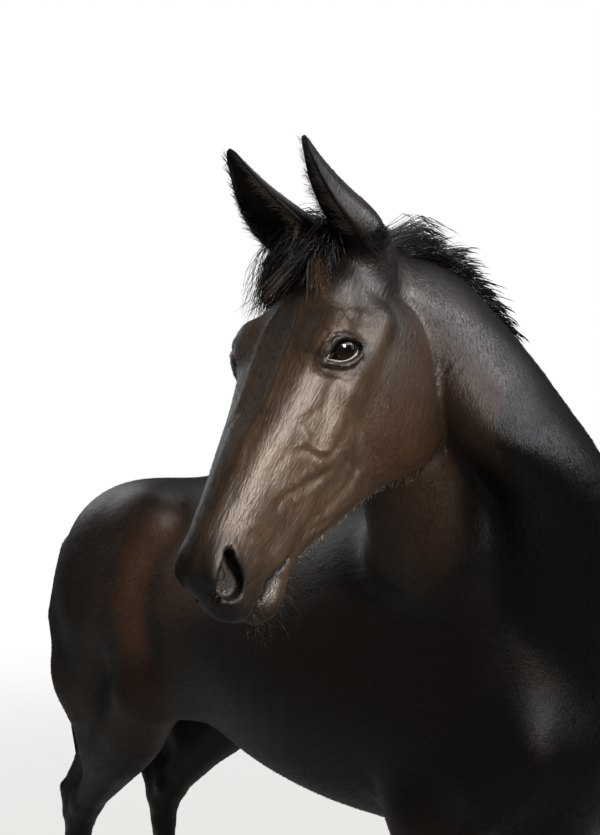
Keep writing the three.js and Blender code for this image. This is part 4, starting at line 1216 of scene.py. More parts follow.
with_ears(skin_mesh)
skin_places = read_points(skin_mesh)
skin_normals = read_normals(skin_mesh)
paint(skin_mesh, skin_places)
write_points(skin_mesh, metres(skin_places))
skin = new_object("skin", skin_mesh)
FLESH = [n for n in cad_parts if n.split("_")[0] in
         ("trunk", "neck", "head", "ear", "forearm", "gaskin") or "cannon" in n]
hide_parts(*FLESH)
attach(skin, "root")
print(f"skin: {sum(len(face.vertices) - 2 for face in skin_mesh.polygons):,} triangles")

# %% [markdown]
# ## Colours and nodes
#
# Colours are sRGB hex values, and one function turns them to the linear values that shaders use. One small
# function adds a node with its settings and links.

# %% Node helper
def linear(hex_colour):
    channels = [int(hex_colour[i:i + 2], 16) / 255 for i in (1, 3, 5)]
    return [c / 12.92 if c <= 0.04045 else ((c + 0.055) / 1.055) ** 2.4 for c in channels] + [1.0]


def add_node(tree, kind, inputs=None, stops=None, **settings):
    """Adds a node. Inputs are values, sockets or nodes; stops are a ramp's [place, colour]."""
    node = tree.nodes.new("ShaderNode" + kind)
    for name, value in settings.items():
        setattr(node, name, value)
    for name, value in (inputs or {}).items():
        if isinstance(value, bpy.types.Node):
            value = next(out for out in value.outputs if out.enabled)
        if isinstance(value, bpy.types.NodeSocket):
            tree.links.new(value, node.inputs[name])
        else:
            node.inputs[name].default_value = value
    if stops:
        for _ in stops[2:]:
            node.color_ramp.elements.new(0.5)
        for element, (place, colour) in zip(node.color_ramp.elements, stops):
            element.position, element.color = place, linear(colour)
    return node


def new_material(name):
    """An empty material, and add_node for its tree."""
    material = bpy.data.materials.new(name)
    material.use_nodes = True
    material.node_tree.nodes.clear()
    return material, partial(add_node, material.node_tree)


# %% [markdown]
# ## The coat's material
#
# Summer coat is short, sleek hair, each about 0.06 mm thick and 10 mm long, lying flat: a satin with a broad
# highlight, broken into streaks along the hair. A hair is too fine to show, so the bump draws locks 2.6 mm
# across and 22 mm long, with wider clumps under them, turned to the lie of each region.

# %% Coat
HAIR_ACROSS, HAIR_ALONG = 0.0026, 0.022  # metres, as coarse as it needs to show
CLUMP_ACROSS, CLUMP_ALONG = 0.012, 0.050


def streaks(add, place, across, along, detail):
    """Noise drawn out along the coat's lie, mixed over the four regions."""
    weights = add("Attribute", attribute_name="regions")
    parts = add("SeparateColor", {"Color": weights})
    shares = [*parts.outputs, weights.outputs["Alpha"]]
    total = None
    for share, lie in zip(shares, LIES):
        turn = Vector(lie).to_track_quat("X", "Z").to_euler()
        turned = add("Mapping", {"Vector": place, "Rotation": turn, "Scale": (along, across, across)},
                                 vector_type="TEXTURE")
        noise = add("TexNoise", {"Vector": turned, "Scale": 1.0, "Detail": detail, "Roughness": 0.6,
                                 "Distortion": 0.25})
        part = add("Math", {0: noise, 1: share}, operation="MULTIPLY")
        total = part if total is None else add("Math", {0: total, 1: part}, operation="ADD")
    return total


def coat_material():
    material, add = new_material("short_hair_dark_bay")
    place = add("TexCoord").outputs["Object"]
    marks = add("Attribute", attribute_name="markings")
    parts = add("SeparateColor", {"Color": marks})
    black, warm, face = parts.outputs
    bare = marks.outputs["Alpha"]
    hairs = streaks(add, place, HAIR_ACROSS, HAIR_ALONG, 3.0)
    clumps = streaks(add, place, CLUMP_ACROSS, CLUMP_ALONG, 2.0)
    mottle = add("TexNoise", {"Vector": place, "Scale": 1 / 0.09, "Detail": 3.0})
    warmth = add("MapRange", {"Value": mottle, "From Min": 0.35, "From Max": 0.68, "To Min": 0.0,
                              "To Max": 0.22})
    warm_all = add("Math", {0: warm, 1: warmth}, operation="ADD", use_clamp=True)
    body = add("Mix", {0: warm_all, 6: linear("#1a1310"), 7: linear("#402a19")}, data_type="RGBA")
    # The face's taupe mixed in here is partly a painted sheen, and the black is partly painted shade on the
    # neck and the bridge of the nose.
    body = add("Mix", {0: face, 6: body, 7: linear("#473a2d")}, data_type="RGBA")
    body = add("Mix", {0: black, 6: body, 7: linear("#0a0808")}, data_type="RGBA")
    body = add("Mix", {0: bare, 6: body, 7: linear("#181515")}, data_type="RGBA")
    streak = add("MapRange", {"Value": hairs, "From Min": 0.30, "From Max": 0.70, "To Min": 0.62,
                              "To Max": 1.38})
    cloud = add("MapRange", {"Value": mottle, "From Min": 0.35, "From Max": 0.65, "To Min": 1.2,
                             "To Max": 0.72})
    depth = add("Math", {0: streak, 1: cloud}, operation="MULTIPLY")
    colour = add("VectorMath", {0: body, "Scale": depth}, operation="SCALE")
    pores = add("TexNoise", {"Vector": place, "Scale": 1 / 0.0016, "Detail": 1.0})
    hair_height = add("Math", {0: clumps, 1: 0.9, 2: hairs}, operation="MULTIPLY_ADD")
    covered = add("Math", {0: 1.0, 1: bare}, operation="SUBTRACT")
    fur = add("Math", {0: hair_height, 1: covered}, operation="MULTIPLY")
    skin_part = add("Math", {0: pores, 1: bare}, operation="MULTIPLY")
    height = add("Math", {0: fur, 1: skin_part}, operation="ADD")
    bump = add("Bump", {"Height": height, "Strength": 0.62, "Distance": 0.0016})
    rough = add("MapRange", {"Value": hairs, "From Min": 0.3, "From Max": 0.7, "To Min": 0.34,
                             "To Max": 0.48})
    shader = add("BsdfPrincipled", {
        "Base Color": colour,
        "Roughness": rough,
        "IOR": 1.55,  # keratin
        "Specular IOR Level": 0.5,
        "Sheen Weight": 0.05,
        "Sheen Roughness": 0.4,
        "Sheen Tint": (0.75, 0.62, 0.52, 1),
        "Normal": bump,
    })
    add("OutputMaterial", {"Surface": shader})
    return material


coat = coat_material()
skin_mesh.materials.append(coat)
print("coat:", len(coat.node_tree.nodes), "nodes")

# %% [markdown]
# ## Locks of hair
#
# Particle hair and curves don't leave Blender as a mesh, so every lock is a thin closed tube with three
# sides that tapers to a point. One function grows the middle lines: a line starts at its root, bends to
# where it is pulled, and is pushed out of the skin. Another wraps them all in one mesh, and gives each lock
# a small patch of the map OFBake at its root's place on an unwrap of the skin.

# %% Unwrap of the skin
def unwrap(points):
    """A place on the map for each place on the skin; trunk, neck, head and each leg have a chart."""
    weights = regions(points)
    kind = weights.argmax(-1)
    x, y, z = points.T
    along, side, up = to_head(points).T
    nearest, _, ahead, left, high = neck_place(x, y, z)
    turn = lambda a, b: (np.arctan2(a, b) / (2 * pi)) % 1
    straight = y - bend(x)
    leg = 2 * (x < -100) + (straight > 0)
    leg_x = np.where(x < -100, -780.0, 420.0)
    trunk_uv = packed(0.02 + 0.46 * (x + 950) / 1700, 0.52 + 0.46 * turn(straight, z - 1200))
    neck_uv = packed(0.52 + 0.46 * nearest / NECK_STEPS, 0.52 + 0.46 * turn(left, high))
    head_uv = packed(0.02 + 0.46 * (along + 100) / 720, 0.02 + 0.46 * turn(side, up + 110))
    leg_turn = turn(x - leg_x, np.abs(straight) - 125)
    leg_uv = packed(0.51 + 0.12 * leg + 0.11 * leg_turn, 0.02 + 0.46 * z / 1000)
    charts = np.stack([head_uv, neck_uv, trunk_uv, leg_uv])
    return charts[kind, np.arange(len(points))].clip(0.004, 0.996)


# %% Building locks
PATCH = 0.0015  # half the size of a lock's patch on the map
random = np.random.default_rng(11)
uniform = random.uniform


def hair_mesh(name, lines, outward, half, thick, roots=None):
    """One mesh of tapering three-sided tubes; lines is (locks, rings + 1, 3), from root to tip."""
    count, rings = len(lines), lines.shape[1] - 1
    way = np.empty_like(lines[:, :-1])
    way[:, 1:] = lines[:, 2:] - lines[:, :-2]
    way[:, 0] = lines[:, 1] - lines[:, 0]
    way = unit(way)
    across = unit(np.cross(outward[:, None, :], way))
    out = np.cross(way, across)
    middle = lines[:, :-1]
    wide, high = across * half[..., None], out * thick[..., None]
    verts = np.stack([middle + wide, middle + high, middle - wide], 2).reshape(count, -1, 3)
    verts = np.concatenate([verts, lines[:, -1:]], axis=1)
    per_lock = rings * 3 + 1
    faces = []
    for ring in range(rings - 1):
        for s in range(3):
            a, b = ring * 3 + s, ring * 3 + (s + 1) % 3
            faces += [[a, b, b + 3], [a, b + 3, a + 3]]
    last = (rings - 1) * 3
    faces += [[last + s, last + (s + 1) % 3, per_lock - 1] for s in range(3)] + [[0, 2, 1]]
    faces = (np.array(faces)[None] + per_lock * np.arange(count)[:, None, None]).reshape(-1, 3)
    mesh = bpy.data.meshes.new(name)
    mesh.vertices.add(count * per_lock)
    mesh.vertices.foreach_set("co", metres(verts.reshape(-1, 3)).astype(np.float32).ravel())
    mesh.loops.add(faces.size)
    mesh.loops.foreach_set("vertex_index", faces.ravel().astype(np.int32))
    mesh.polygons.add(len(faces))
    mesh.polygons.foreach_set("loop_start", np.arange(0, faces.size, 3, dtype=np.int32))
    mesh.update(calc_edges=True)
    roots = lines[:, 0] if roots is None else roots
    step = np.concatenate([np.repeat(np.arange(rings) / rings, 3), [1.0]])
    spot = packed(np.r_[np.tile([-1, 0, 1], rings), 0] * 0.9, step * 1.8 - 0.9) * PATCH
    patch = unwrap(roots)[:, None, :] + spot[None]
    layer = mesh.uv_layers.new(name="OFBake")
    layer.data.foreach_set("uv", patch.reshape(-1, 2)[faces.ravel()].astype(np.float32).ravel())
    give(mesh, "shade", "FLOAT", np.repeat(random.random(count), per_lock))
    give(mesh, "run", "FLOAT", np.tile(step, count))
    mesh.shade_smooth()
    return mesh


def add_hair(name, lines, outward, half, *solids):
    """A piece of long black locks, half as thick as they are wide."""
    add_piece(name, hair_mesh(name, lines, outward, half, half * 0.5), long_hair, "long_hair", *solids)


def grow(roots, ways, lengths, rings, pull, clearance, wander=0.08, ramp=2):
    """Middle lines that start in the given ways, turn towards the pull and stay clear of the skin."""
    at, way, lines = roots.copy(), unit(ways), [roots.copy()]
    pull = np.broadcast_to(pull, roots.shape)
    clearance = np.broadcast_to(clearance, len(roots))
    for ring in range(rings):
        way = unit(way + pull / rings + random.normal(0, wander, roots.shape))
        at = at + way * (lengths / rings)[:, None]
        wanted = clearance * min(1, (ring + 1) / ramp)
        d = horse_field(at)
        low = np.flatnonzero(d < wanted)
        slope = unit(slope_of(at[low], d[low]))
        at[low] += slope * (wanted[low] - d[low])[:, None]
        way[low] = unit(way[low] - slope * np.minimum((way[low] * slope).sum(-1), 0)[:, None])
        lines.append(at.copy())
    return np.stack(lines, 1)


def taper(locks, rings, half, low=0.75, high=1.25):
    """Half widths of each lock: full in the middle and fine near the tip."""
    t = np.arange(rings) / rings
    shape = (0.75 + 0.6 * t - 0.95 * t**3)[None]
    return half * shape * uniform(low, high, (locks, 1))


def spread(count, size=1.0):
    return random.normal(0, size, (count, 3))


# %% [markdown]
# ## Long hair's material
#
# Mane and tail hair is coarse and black, with a hard narrow shine and a brown cast at the ends, partly from
# the sun's bleaching and partly a painted highlight. Each lock has its own shade, the lightest of which is
# partly a painted highlight too, and the brown cast grows along its length.

# %% Long hair material
def long_hair_material(name, dark, light, ends):
    material, add = new_material(name)
    shade = add("Attribute", attribute_name="shade").outputs["Fac"]
    run = add("Attribute", attribute_name="run").outputs["Fac"]
    # partly painted highlight: the light shade and the brown ends stand for shine on the hair as well as for
    # the sun's bleaching
    colour = add("ValToRGB", {"Fac": shade}, stops=[[0.0, dark], [0.82, dark], [1.0, light]])
    bleach_and_highlight = add("Math", {0: shade, 1: run}, operation="MULTIPLY")
    mixed = add("Mix", {0: bleach_and_highlight, 6: colour, 7: linear(ends)}, data_type="RGBA")
    rough = add("MapRange", {"Value": shade, "To Min": 0.26, "To Max": 0.42})
    shader = add("BsdfPrincipled", {
        "Base Color": mixed,
        "Roughness": rough,
        "IOR": 1.55,
        "Sheen Weight": 0.08,
    })
    add("OutputMaterial", {"Surface": shader})
    return material


long_hair = long_hair_material("horse_hair_black", "#080606", "#1e1510", "#36261b")

# %% [markdown]
# ## Mane
#
# The mane grows from a band along the crest, stands up a little and falls to the right side of the neck.
# Near the poll it is longer and swept back. Its roots are spread along the neck's frames.

# %% Mane
MANE_FROM, MANE_TO = 0.40, 0.985


def crest_roots(count, low, high, width):
    """Places on the crest between two shares of the neck, with the crest's three ways there."""
    share = uniform(low, high, count)
    at = share * NECK_STEPS
    ring = np.minimum(at.astype(int), NECK_STEPS - 1)
    mix = (at - ring)[:, None]
    places = (lerp(NECK[k][ring], NECK[k][ring + 1], mix) for k in ("centre", "ahead", "left", "up"))
    centre, ahead, left, up = places
    lean = random.normal(0, width, count)[:, None] - 0.05
    way = unit(up + left * lean)
    r = np.full(count, 330.0)
    for _ in range(14):
        r -= 0.9 * horse_field(centre + way * r[:, None])
        r = np.clip(r, 40, 420)
    return share, centre + way * (r - 3)[:, None], unit(ahead), unit(left), unit(up)


def falling_mane(count, low, high):
    """Locks that arch up off the crest and fall to the right of the neck."""
    share, roots, ahead, left, up = crest_roots(count, low, high, 0.10)
    length = uniform(120, 215, count) * lerp(0.55, 1.0, ease((share - MANE_FROM) / 0.12))
    length *= np.where(random.random(count) < 0.2, 0.55, 1.0) * lerp(1, 0.45, ease((share - 0.84) / 0.1))
    to_right = uniform(0.1, 1.0, count)[:, None]
    back = uniform(0.1, 0.8, count)[:, None]
    ways = up * 1.5 - left * to_right * 0.7 - ahead * back + spread(count, 0.18)
    pull = np.array([0, 0, -1.6]) - left * 1.2 - ahead * 0.3
    clearance = uniform(2, 36, count) * random.random(count)
    return grow(roots, ways, length, 5, pull, clearance), up - left * 0.7


def standing_mane(count, low, high):
    """Short stiff locks along the crest that stand up and lean to the withers."""
    share, roots, ahead, left, up = crest_roots(count, low, high, 0.13)
    clump = 0.35 * np.sin(share * 190) + 0.25 * np.sin(share * 83 + 2)
    length = (104 + 24 * clump) * uniform(0.55, 1.04, count)
    length = length * lerp(1, 0.75, ease((share - 0.9) / 0.08))
    aside = uniform(-0.22, 0.22, count)[:, None]
    ways = up * 1.6 - ahead * (0.6 + 0.4 * clump)[:, None] + left * aside
    pull = np.array([0, 0, -0.25]) - left * 0.2 - ahead * 0.8
    return grow(roots, ways + spread(count, 0.09), length, 5, pull, 2.0, 0.05), up - left * 0.3


def swept_mane(count, low, high):
    """Long locks behind the poll, swept back over the crest in a thick band."""
    share, roots, ahead, left, up = crest_roots(count, low, high, 0.16)
    length = uniform(100, 190, count)
    near_poll = ease((share - 0.925) / 0.04)
    rise = lerp(0.8, uniform(1.4, 2.6, count), near_poll)[:, None]
    ways = up * rise - ahead * 0.8 + spread(count, 0.05)
    pull = -ahead * 2.2 - up * 1.3 - left * 0.15
    clearance = uniform(6, 72, count) * lerp(0.3, 1, near_poll)
    return grow(roots, ways, length, 7, pull, clearance, 0.03, 5), up


for piece_name, (lines, out), solids in (
    ("mane_fall", falling_mane(5200, MANE_FROM, MANE_TO), ["mane"]),
    ("mane_crest", standing_mane(4600, MANE_FROM + 0.03, MANE_TO - 0.01), []),
    ("mane_behind_poll", swept_mane(1700, 0.90, MANE_TO), []),
):
    add_hair(piece_name, lines, out, taper(len(lines), lines.shape[1] - 1, 1.15), *solids)

# %% [markdown]
# ## Forelock
#
# The mane's front part falls between the ears over the forehead, parted to both sides. A few of its locks are
# browner, partly from the sun's bleaching and partly a painted highlight, and lie over the rest as wisps.

# %% Forelock
FORELOCK_RINGS = 7
above_face = lambda lines: np.tile(head_up, (len(lines), 1))


def settle(points):
    """Points above the poll let down onto the skin and a little into it."""
    for _ in range(10):
        points = points - head_up * horse_field(points)[:, None] * 0.9
    return points - head_up * 3


def forelock_lines(count):
    along = uniform(-52, 26, count)
    side = random.normal(-4, 18, count).clip(-42, 36)
    roots = settle(from_head(packed(along, side, 30.0)))
    fan = (side / 22 + random.normal(0, 0.4, count)).clip(-1.35, 0.55)[:, None]
    forward = uniform(0.5, 1.1, count)[:, None]
    ways = faceward * forward * 0.8 + head_left * (fan * 0.5 - 0.15) + head_up * 2.0 + spread(count, 0.16)
    pull = faceward * 1.3 - head_up * 2.6 + head_left * (fan * 0.4 - 0.35)
    length = uniform(100, 180, count) * np.where(random.random(count) < 0.25, 0.6, 1.0)
    length *= lerp(1, 0.5, ease((fan[:, 0] + 0.5) / 0.9))
    clearance = uniform(2, 40, count) * random.random(count)
    return grow(roots, ways, length, FORELOCK_RINGS, pull, clearance, 0.10)


forelock = forelock_lines(2600)
forelock_half = taper(len(forelock), FORELOCK_RINGS, 1.0)
add_hair("forelock_hair", forelock, above_face(forelock), forelock_half, "forelock")

# %% Wisps: sun-bleaching and painted highlight
# [locks, along, side, turn to the side] of each wisp that lies over the forehead
WISPS = [[64, 14, 6, 0.46], [34, -4, -12, -0.25], [30, 10, -24, -0.9], [26, 4, 16, 0.2]]
# partly painted highlight: the wisps' brown is the sun's bleaching together with the shine of lit strands
bleached_and_highlit_hair = long_hair_material("sun_bleached_and_highlit_hair", "#2a1c12", "#5e4531", "#75573d")


def wisp(count, along, side, turn):
    places = packed(random.normal(along, 4, count), random.normal(side, 3, count), 26.0)
    ways = faceward * 0.9 + head_left * turn * 0.5 + head_up * 1.5 + spread(count, 0.05)
    pull = faceward * 1.7 + head_left * turn - head_up * 2.3
    lengths = uniform(120, 178, count)
    clearance = uniform(10, 34, count)
    return grow(settle(from_head(places)), ways, lengths, FORELOCK_RINGS, pull, clearance, 0.03, 4)


wisps = np.concatenate([wisp(*w) for w in WISPS])
wisp_half = taper(len(wisps), FORELOCK_RINGS, 0.8)
wisp_mesh = hair_mesh("forelock_wisps", wisps, above_face(wisps), wisp_half, wisp_half * 0.5)
add_piece("forelock_wisps", wisp_mesh, bleached_and_highlit_hair, "long_hair")

# %% [markdown]
# ## Tail
#
# The tail hair hangs from the dock, the short fleshy root of the tail. Each lock leaves the dock at its own
# height, follows the tail's middle line at its own place in the section, and ends where the tail thins out.

# %% Tail
# [share of its length, x, z, half width, half thickness]
tail_at = through([
    [0, -872, 1412, 30, 26],
    [0.08, -918, 1398, 36, 32],
    [0.18, -962, 1330, 46, 36],
    [0.35, -985, 1180, 62, 42],
    [0.55, -992, 980, 74, 46],
    [0.75, -988, 790, 68, 42],
    [0.9, -980, 650, 44, 30],
    [1, -975, 560, 12, 10],
])
TAIL_Y = float(bend(np.array(-868.0))) - 4


def tail_lines(count, rings):
    start = uniform(0, 0.36, count) * uniform(0.3, 1, count)
    end = uniform(0.72, 1.0, count)
    place = np.sqrt(uniform(0, 1, count))
    turn = uniform(0, 2 * pi, count)
    sway = random.normal(0, 0.35, (count, 2))
    lines = []
    for ring in range(rings + 1):
        t = ring / rings
        share = lerp(start, end, t)
        x, z, half, thick = tail_at(share)
        x1, z1, _, _ = tail_at(share - 0.01)
        x2, z2, _, _ = tail_at(share + 0.01)
        ahead = unit(packed(x2 - x1, 0, z2 - z1))
        out = packed(ahead[:, 2], 0, -ahead[:, 0])
        angle = turn + sway[:, 0] * t * 1.6 + 0.25 * np.sin(t * 7 + sway[:, 1] * 9)
        full = place * lerp(0.45, 0.97, ease(t * 3.5)) * lerp(1, 0.9, t)
        centre = packed(x, TAIL_Y, z)
        lines.append(centre + np.array([0, 1, 0]) * (np.cos(angle) * full * half)[:, None]
                     + out * (np.sin(angle) * full * thick)[:, None])
    lines = np.stack(lines, 1)
    outward = unit(lines[:, 3] - packed(tail_at(0.5)[0], TAIL_Y, lines[:, 3, 2]))
    return lines, outward


tail_hair, tail_out = tail_lines(3900, 8)
add_hair("tail_hair", tail_hair, tail_out, taper(len(tail_hair), 8, 1.5), "tail")

# %% Dock
# The fleshy root of the tail, under the hair. It gets narrower towards its end.
share = np.linspace(-0.02, 0.33, 16)
x, z, half, thick = tail_at(share)
narrow = (0.52 * (1 - 0.85 * ease((share - 0.24) / 0.09)))[:, None]
x2, z2 = tail_at(share + 0.02)[:2]
lean = unit(packed(x2 - x, 0, z2 - z))
dock_out = packed(lean[:, 2], 0, -lean[:, 0])
dock_ways = np.array([0, 1, 0]) * half[:, None] * narrow, dock_out * thick[:, None] * narrow
dock_points, dock_faces = tube(packed(x, TAIL_Y, z), np.ones(len(x)), dock_ways, 20)
dock_mesh = mesh_of("dock", metres(dock_points), dock_faces)
face_outward(dock_mesh)
paint(dock_mesh, dock_points)
add_piece("dock", dock_mesh, coat, "coat")

# %% [markdown]
# ## Eyes
#
# A horse's eye is a ball 56 mm across with a clear dome in front, a very dark iris and a pupil that is a
# level slot. So dark an eye shows only its shine, so each is one ball with a low dome, and iris and pupil
# are drawn from each point's place on it. The lids' wet edge and the flesh in the corner are a piece of
# their own, painted pale as a painted highlight of their wet shine.

# %% Eyeballs
EYE_RADIUS = 27.8
DOME = 1.2  # how far the clear dome stands out of the ball


def mirrored(points, sign):
    """Places on the head's left side, put on the side that the sign names."""
    return points * np.array([1, sign, 1])


def from_eye(points, sign):
    """Places in an eye's own axes, in the horse's frame."""
    return from_head(mirrored(EYE + np.asarray(points, float) @ EYE_AXES, sign))


def eyeball(name, sign, rows=30, columns=48):
    tilt = np.linspace(0, pi, rows + 1)[1:-1, None]
    turn = np.linspace(0, 2 * pi, columns, endpoint=False)[None]
    ring = packed(np.sin(tilt) * np.cos(turn), np.sin(tilt) * np.sin(turn), np.cos(tilt) + 0 * turn)
    way = np.vstack([[0, 0, 1], ring.reshape(-1, 3), [0, 0, -1]])
    size = EYE_RADIUS + DOME * ease((way[:, 2] - 0.62) / 0.30)
    faces = [[0, 1 + k, 1 + (k + 1) % columns] for k in range(columns)]
    faces += [[a, d, c, b] for a, b, c, d in ring_faces(rows - 1, columns, 1)]
    last = 1 + (rows - 2) * columns
    faces += [[last + k, len(way) - 1, last + (k + 1) % columns] for k in range(columns)]
    mesh = mesh_of(name, metres(from_eye(way * size[:, None], sign)), faces)
    face_outward(mesh)
    give(mesh, "gaze", "FLOAT_VECTOR", way)
    return mesh


# %% Eye material
# Living eye: clear cornea under a film of tears, so it is almost a mirror; IOR of the cornea 1.376.
def eye_material():
    material, add = new_material("wet_dark_eye")
    gaze = add("Attribute", attribute_name="gaze").outputs["Vector"]
    part = add("SeparateXYZ", {"Vector": gaze})
    oval_pupil = add("VectorMath", {0: gaze, 1: (1 / 0.30, 1 / 0.15, 0)}, operation="MULTIPLY")
    pupil = add("VectorMath", {0: oval_pupil}, operation="LENGTH")
    flat = add("VectorMath", {0: gaze, 1: (1, 1, 0)}, operation="MULTIPLY")
    out = add("VectorMath", {0: flat}, operation="LENGTH")
    angle = add("Math", {0: part.outputs["X"], 1: part.outputs["Y"]}, operation="ARCTAN2")
    fibre_place = add("CombineXYZ", {"X": angle, "Y": out})
    fibres = add("TexNoise", {"Vector": fibre_place, "Scale": 9.0, "Detail": 3.0})
    iris = add("ValToRGB", {"Fac": fibres}, stops=[[0.3, "#070302"], [0.75, "#160b06"]])
    white = add("MapRange", {"Value": out, "From Min": 0.66, "From Max": 0.90})
    ball = add("Mix", {0: white, 6: iris, 7: linear("#1d1512")}, data_type="RGBA")
    hole = add("MapRange", {"Value": pupil, "From Min": 1.12, "From Max": 0.92})
    with_pupil = add("Mix", {0: hole, 6: ball, 7: linear("#020203")}, data_type="RGBA")
    shader = add("BsdfPrincipled", {
        "Base Color": with_pupil,
        "Roughness": 0.04,
        "IOR": 1.376,
        "Specular IOR Level": 0.75,
        "Coat Weight": 1.0,
        "Coat Roughness": 0.02,
        "Coat IOR": 1.6,
    })
    add("OutputMaterial", {"Surface": shader})
    return material


wet_eye = eye_material()
SIGNS = {"left": 1, "right": -1}
for side_name, sign in SIGNS.items():
    name = f"eyeball_{side_name}"
    add_piece(name, eyeball(name, sign), wet_eye, "eye", f"eye_{side_name}")

# %% Wet edges of the lids
# A bead of tears lies along each lower lid, and flesh fills the corner by the nose. Both are painted pale, a
# painted highlight of their wet shine.
def lid_edge():
    nose = np.linspace(-27, 35, 40)
    _, lower = lid_slit(nose)
    high = lower + 0.9
    out = np.sqrt(np.maximum(EYE_RADIUS**2 - nose**2 - high**2, 0))
    out = np.maximum(out, lerp(6, 21.5, ease((nose - 20) / 14))) + 0.5
    line = packed(nose, high, out)
    across = unit(np.cross(np.gradient(line, axis=0), unit(line)))
    swell = 0.6 + 1.0 * ease((nose + 27) / 12) * (1 - 0.4 * ease((nose - 24) / 10))
    return tube(line, swell, (across, unit(line)))


def caruncle():
    nose = np.linspace(25, 37.5, 12)
    upper, lower = lid_slit(nose)
    line = packed(nose, (upper + lower) / 2 - 0.6, lerp(17.0, 20.5, (nose - 25) / 12.5))
    tall = 3.4 * np.sqrt(np.maximum(1 - ((nose - 31) / 6.6) ** 2, 0.01))
    ahead = np.tile([0.0, 1.0, 0.0], (12, 1))
    return tube(line, tall, (ahead, np.tile([0.0, 0.0, 1.0], (12, 1))), 10)


def wet_edge_painted_shine_material():
    material, add = new_material("wet_lid_edge_painted_shine")
    place = add("TexCoord").outputs["Object"]
    mottle = add("TexNoise", {"Vector": place, "Scale": 1 / 0.003, "Detail": 2.0})
    # painted highlight: the pale colour paints the shine of the wet lid edge and of the corner
    colour = add("ValToRGB", {"Fac": mottle}, stops=[[0.3, "#8d817a"], [0.6, "#c9c0b9"]])
    shader = add("BsdfPrincipled", {
        "Base Color": colour,
        "Roughness": 0.12,
        "IOR": 1.34,
        "Specular IOR Level": 0.9,
    })
    add("OutputMaterial", {"Surface": shader})
    return material


rim_verts, rim_faces = [], []
for sign in SIGNS.values():
    for verts, faces in (lid_edge(), caruncle()):
        start = sum(len(v) for v in rim_verts)
        rim_faces += [[i + start for i in face[::sign]] for face in faces]
        rim_verts.append(from_eye(verts, sign))
rim_mesh = mesh_of("lid_edges", metres(np.vstack(rim_verts)), rim_faces)
rim_mesh.shade_smooth()
add_piece("lid_edges", rim_mesh, wet_edge_painted_shine_material(), "eye")

# %% [markdown]
# ## Hooves
#
# A hoof is a wall of horn that grows down from the coronet, with fine upright tubules and shallow level
# rings of growth. It has a cleft between its heels and stands on the wall's edge with the sole hollow behind
# it. A lathe would give a round cup; here the rings are ovals that lean forward, and the growth is real
# height.

# %% Hoof shape
HOOF = dict(sole_ahead=40, sole_length=68, sole_width=62, top_length=54, top_width=52, height=78, slope=0.33,
            heel=0.12)
HOOF_SPOKES = 72
GROWTH = 0.35  # height of the growth rings
# The sole: [share of the width, height over the ground], from the wall's edge inwards.
SOLE = [(0.90, 0.0), (0.86, 1.6), (0.80, 5.0), (0.55, 7.5), (0.25, 8.5), (0.05, 8.8)]


def hoof_ring(t, shrink, inward=1.0):
    """A ring at a share t of the wall's height, as places round the middle of the hoof's top."""
    turn = np.linspace(0, 2 * pi, HOOF_SPOKES, endpoint=False)
    edge = -3 * (1 - ease(t / 0.05))
    cleft = 1 - 0.13 * np.exp(-((turn - pi) / 0.22) ** 2) * ease((0.9 - t) / 0.3)
    rings = GROWTH * (np.sin(t * 62 + 0.7 * np.sin(3 * turn)) - 1) * (1 - ease((t - 0.85) / 0.15))
    long = (lerp(HOOF["sole_length"], HOOF["top_length"], t) + edge + rings - shrink) * cleft * inward
    wide = (lerp(HOOF["sole_width"], HOOF["top_width"], t) + edge + rings - shrink) * inward
    ahead = lerp(HOOF["sole_ahead"], 0, t) + long * np.cos(turn)
    across = np.sin(turn) * wide * (1 - HOOF["heel"] * np.cos(turn))
    return packed(ahead, across, t * (HOOF["height"] + HOOF["slope"] * ahead)), turn


def hoof_mesh(name, x, y):
    rings, wall = [], []

    def add_ring(t, shrink, mark, inward=1.0):
        ring, turn = hoof_ring(t, shrink, inward)
        rings.append(ring)
        wall.append(packed(turn, mark, 0))
        return ring, turn

    for share, height in SOLE[::-1]:
        ring, turn = add_ring(0.0, 0.3, -share, share)
        frog = ease((0.25 - np.abs(np.sin(turn))) / 0.2) * (np.cos(turn) < 0.3) * ease((height - 1.6) / 4)
        ring[:, 2] = height - frog * 4.5
    for t in np.r_[0, 0.02, 0.05, np.linspace(0.08, 1, 60)]:
        add_ring(t, 0.3, t)
    add_ring(1.0, 8.0, 1.0)
    mesh = mesh_of(name, metres(np.vstack(rings) + [x, y, 0]), capped(len(rings), HOOF_SPOKES))
    give(mesh, "wall", "FLOAT_VECTOR", np.vstack(wall))
    mesh.shade_smooth()
    return mesh


